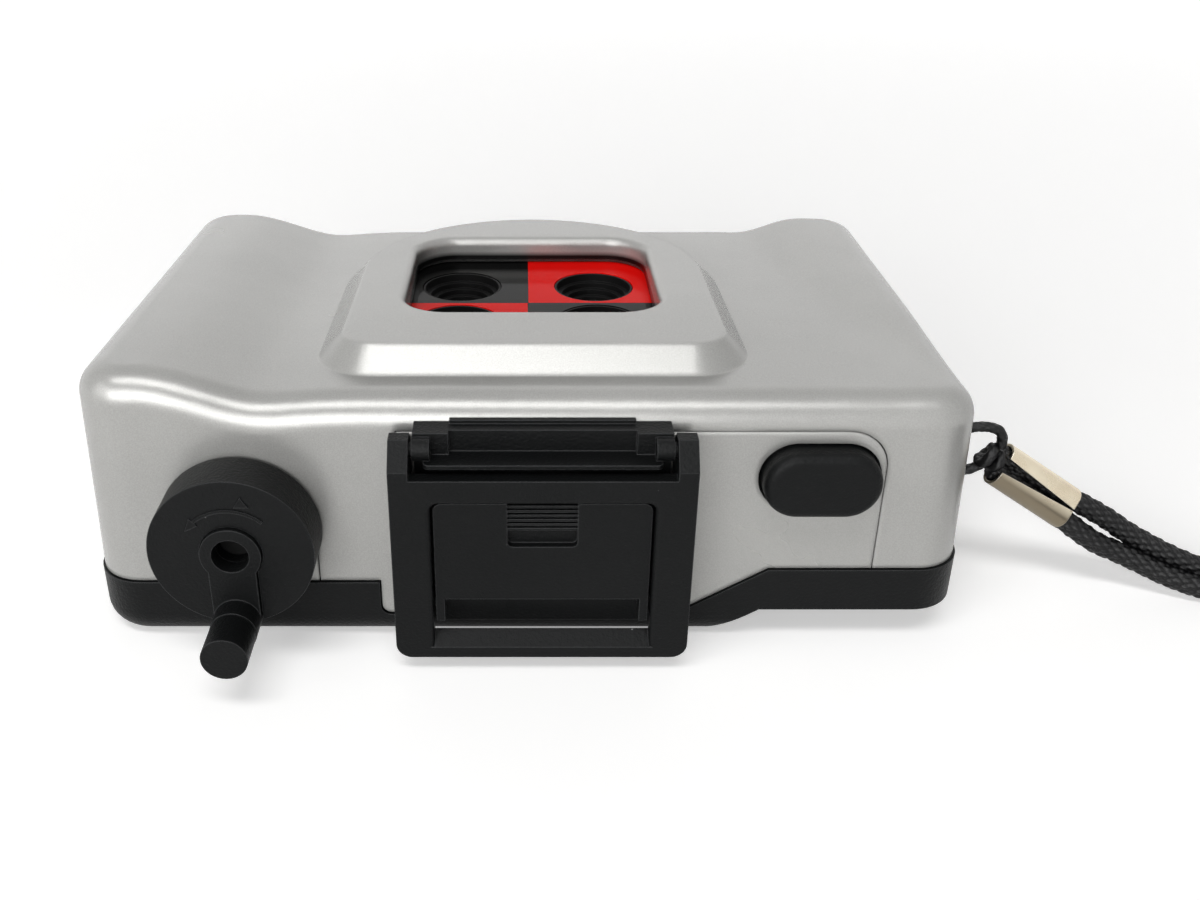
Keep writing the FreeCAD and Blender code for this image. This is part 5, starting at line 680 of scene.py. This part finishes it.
# Raised numbers round a face that looks along +Y, each upright at the top.
def numberPiece(name, look, middle):
    shape = bmesh.new()
    facing = Matrix(((-1, 0, 0, 0), (0, 0, 1, 0), (0, 1, 0, 0), (0, 0, 0, 1)))
    for k, number in enumerate(look["numbers"]):
        data = bpy.data.curves.new("number", "FONT")
        data.body, data.size, data.extrude = str(number), look["size"], look["proud"]
        data.align_x, data.align_y, data.resolution_u = "CENTER", "CENTER", 3
        holder = bpy.data.objects.new("number", data)
        scene.collection.objects.link(holder)
        bpy.context.view_layer.update()
        mesh = bpy.data.meshes.new_from_object(holder)
        turn = -2 * math.pi * k / len(look["numbers"])
        spot = Matrix.Translation(middle) @ facing @ Matrix.Rotation(turn, 4, "Z")
        mesh.transform(spot @ Matrix.Translation((0.0, look["numberRadius"], 0.0)))
        shape.from_mesh(mesh)
        bpy.data.objects.remove(holder)
        bpy.data.meshes.remove(mesh)
    mesh = bpy.data.meshes.new(name)
    shape.to_mesh(mesh)
    shape.free()
    piece = bpy.data.objects.new(name, mesh)
    scene.collection.objects.link(piece)
    return piece


dialNumbers = numberPiece("dialNumbers", dialScale, dialMiddle)

# Shallow domes on the pressure plate's film side.
plateDomes = {
    "columns": 12, "rows": 9, "margin": 0.0022, "dome": 0.00065, "squash": (1.0, 1.0, 0.22),
}
plateLow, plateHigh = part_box("pressure_plate")
plateMiddle = (plateLow[0] + plateHigh[0]) / 2, (plateLow[1] + plateHigh[1]) / 2
filmDomes = treePiece("filmDomes", domeTree(materials["steel"]), {
    "Length": plateHigh[0] - plateLow[0] - plateDomes["margin"] * 2,
    "Width": plateHigh[1] - plateLow[1] - plateDomes["margin"] * 2,
    "Columns": plateDomes["columns"], "Rows": plateDomes["rows"], "Dome": plateDomes["dome"],
    "Squash": plateDomes["squash"], "Place": (*plateMiddle, plateHigh[2])})

# The light seals as soft foam strips with an open, uneven skin.
foamSkin = {"voxel": 0.00032, "rough": 0.00007, "scale": 900.0}


def foamPiece(name, node, look):
    shape = bmesh.new()
    shape.from_mesh(frame["nodes"][node].data)
    bmesh.ops.remove_doubles(shape, verts=shape.verts, dist=1e-6)
    solid = bpy.data.meshes.new(name + "Solid")
    shape.to_mesh(solid)
    shape.free()
    holder = bpy.data.objects.new(name + "Solid", solid)
    scene.collection.objects.link(holder)
    skin = holder.modifiers.new("skin", "REMESH")
    skin.mode, skin.voxel_size = "VOXEL", look["voxel"]
    bpy.context.view_layer.update()
    drawn = holder.evaluated_get(bpy.context.evaluated_depsgraph_get())
    mesh = bpy.data.meshes.new_from_object(drawn)
    bpy.data.objects.remove(holder)
    for v in mesh.vertices:
        v.co -= v.normal * look["rough"] * (0.5 + noise.noise(v.co * look["scale"]))
    mesh.polygons.foreach_set("use_smooth", [True] * len(mesh.polygons))
    mesh.name = name
    piece = bpy.data.objects.new(name, mesh)
    scene.collection.objects.link(piece)
    return piece


lightSeals = foamPiece("lightSeals", "light_seals", foamSkin)
smallPieces = {
    discMark: ("crank", "black_plastic"),
    dialTicks: ("counter", "inner_black"),
    dialNumbers: ("counter", "inner_black"),
    filmDomes: ("pressure", "steel"),
    lightSeals: ("door", "foam"),
}
for piece, (body, slot) in smallPieces.items():
    piece.data.materials.clear()
    piece.data.materials.append(materials[slot])
    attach(piece, body)
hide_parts("light_seals")
print("small pieces ready")


# 1 for rays from the camera and for what mirrors and clear pieces show, 0 for light on surfaces.
def seenRays(tree):
    path = tree.nodes.new("ShaderNodeLightPath")
    total = path.outputs["Is Camera Ray"]
    for label in ("Is Glossy Ray", "Is Transmission Ray"):
        both = sockets(tree, "ShaderNodeMath", operation="MAXIMUM")
        tree.links.new(total, both.inputs[0])
        tree.links.new(path.outputs[label], both.inputs[1])
        total = both.outputs[0]
    return total


# Paint that keeps the object's soft shadow near it and turns white further away.
def floorPaint(look):
    made = bpy.data.materials.new("floorPaint")
    made.use_nodes = True
    tree = made.node_tree
    shader = tree.nodes["Principled BSDF"]
    shader.inputs["Base Color"].default_value = (*look["colour"], 1.0)
    shader.inputs["Roughness"].default_value = look["rough"]
    shader.inputs["Specular IOR Level"].default_value = 0.0
    shader.inputs["Emission Color"].default_value = (1.0, 1.0, 1.0, 1.0)
    place = tree.nodes.new("ShaderNodeTexCoord").outputs["Object"]
    away = sockets(tree, "ShaderNodeVectorMath", operation="LENGTH")
    tree.links.new(place, away.inputs[0])
    lift = ranged(tree, away.outputs["Value"], *look["reach"], *look["lift"])
    tree.links.new(multiplied(tree, seenRays(tree), lift), shader.inputs["Emission Strength"])
    return made


# Plain floor that bends up into a backdrop.
def studio(look):
    wide, back, curve = look["wide"], look["back"], look["curve"]
    outline = [(-look["front"], 0.0)]
    for turn in np.linspace(0.0, math.pi / 2, look["steps"] + 1):
        outline.append((back - curve + curve * math.sin(turn), curve * (1 - math.cos(turn))))
    outline.append((back, look["high"]))
    n = len(outline)
    mesh = bpy.data.meshes.new("floor")
    verts = [(x, y, z) for x in (-wide, wide) for y, z in outline]
    mesh.from_pydata(verts, [], [(k, k + 1, n + k + 1, n + k) for k in range(n - 1)])
    mesh.polygons.foreach_set("use_smooth", [True] * (n - 1))
    mesh.materials.append(floorPaint(look))
    floor = bpy.data.objects.new("floor", mesh)
    scene.collection.objects.link(floor)


# Every lamp is aimed at the camera's middle.
lampAim = (0.0, 0.0, 0.015)


def softLight(name, look):
    data = bpy.data.lights.new(name, "AREA")
    data.shape = "RECTANGLE"
    data.size, data.size_y = look["size"]
    data.energy = look["power"]
    lamp = bpy.data.objects.new(name, data)
    scene.collection.objects.link(lamp)
    lamp.location = look["place"]
    aim = Vector(lampAim) - lamp.location
    lamp.rotation_euler = aim.to_track_quat("-Z", "Y").to_euler()


studio({
    "wide": 6.0, "front": 6.0, "back": 1.1, "high": 4.0, "curve": 0.5, "steps": 24,
    "colour": (0.93, 0.925, 0.92), "rough": 0.75, "reach": (0.12, 0.9), "lift": (0.32, 0.88),
})
lamps = {
    "topLight": {"size": (0.8, 0.25), "power": 4.4, "place": (-0.12, -0.42, 0.97)},
    "frontLight": {"size": (0.9, 0.6), "power": 10.6, "place": (-0.35, -1.1, 0.38)},
    "leftLight": {"size": (0.5, 0.6), "power": 1.5, "place": (-0.8, -0.5, 0.4)},
    "backLight": {"size": (0.9, 0.4), "power": 0.2, "place": (0.15, 0.85, 0.65)},
}
for name, look in lamps.items():
    softLight(name, look)
world = bpy.data.worlds.new("studio")
scene.world = world
world.use_nodes = True
backdrop = world.node_tree.nodes["Background"]
backdrop.inputs["Color"].default_value = (1.0, 1.0, 1.0, 1.0)
worldLevel = {"light": 0.10, "seen": 1.0}
level = ranged(world.node_tree, seenRays(world.node_tree), 0.0, 1.0, *worldLevel.values())
world.node_tree.links.new(level, backdrop.inputs["Strength"])
scene.view_settings.view_transform = "Standard"
print("studio ready")


# The strap's pieces ride on the camera's body and stand for their solids.
strapPieces = {
    wristCord: ["wrist_cord", "wrist_coil"],
    strapLoop: ["strap_loop"],
    strapKnot: ["strap_knot"],
}
for piece, nodes in strapPieces.items():
    piece.data.materials.append(materials["woven_cord"])
    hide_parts(*nodes)
    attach(piece, "camera")
runs = np.linalg.norm(np.diff(cordLine, axis=0), axis=1)
print("cord length", round(float(runs.sum()), 4))
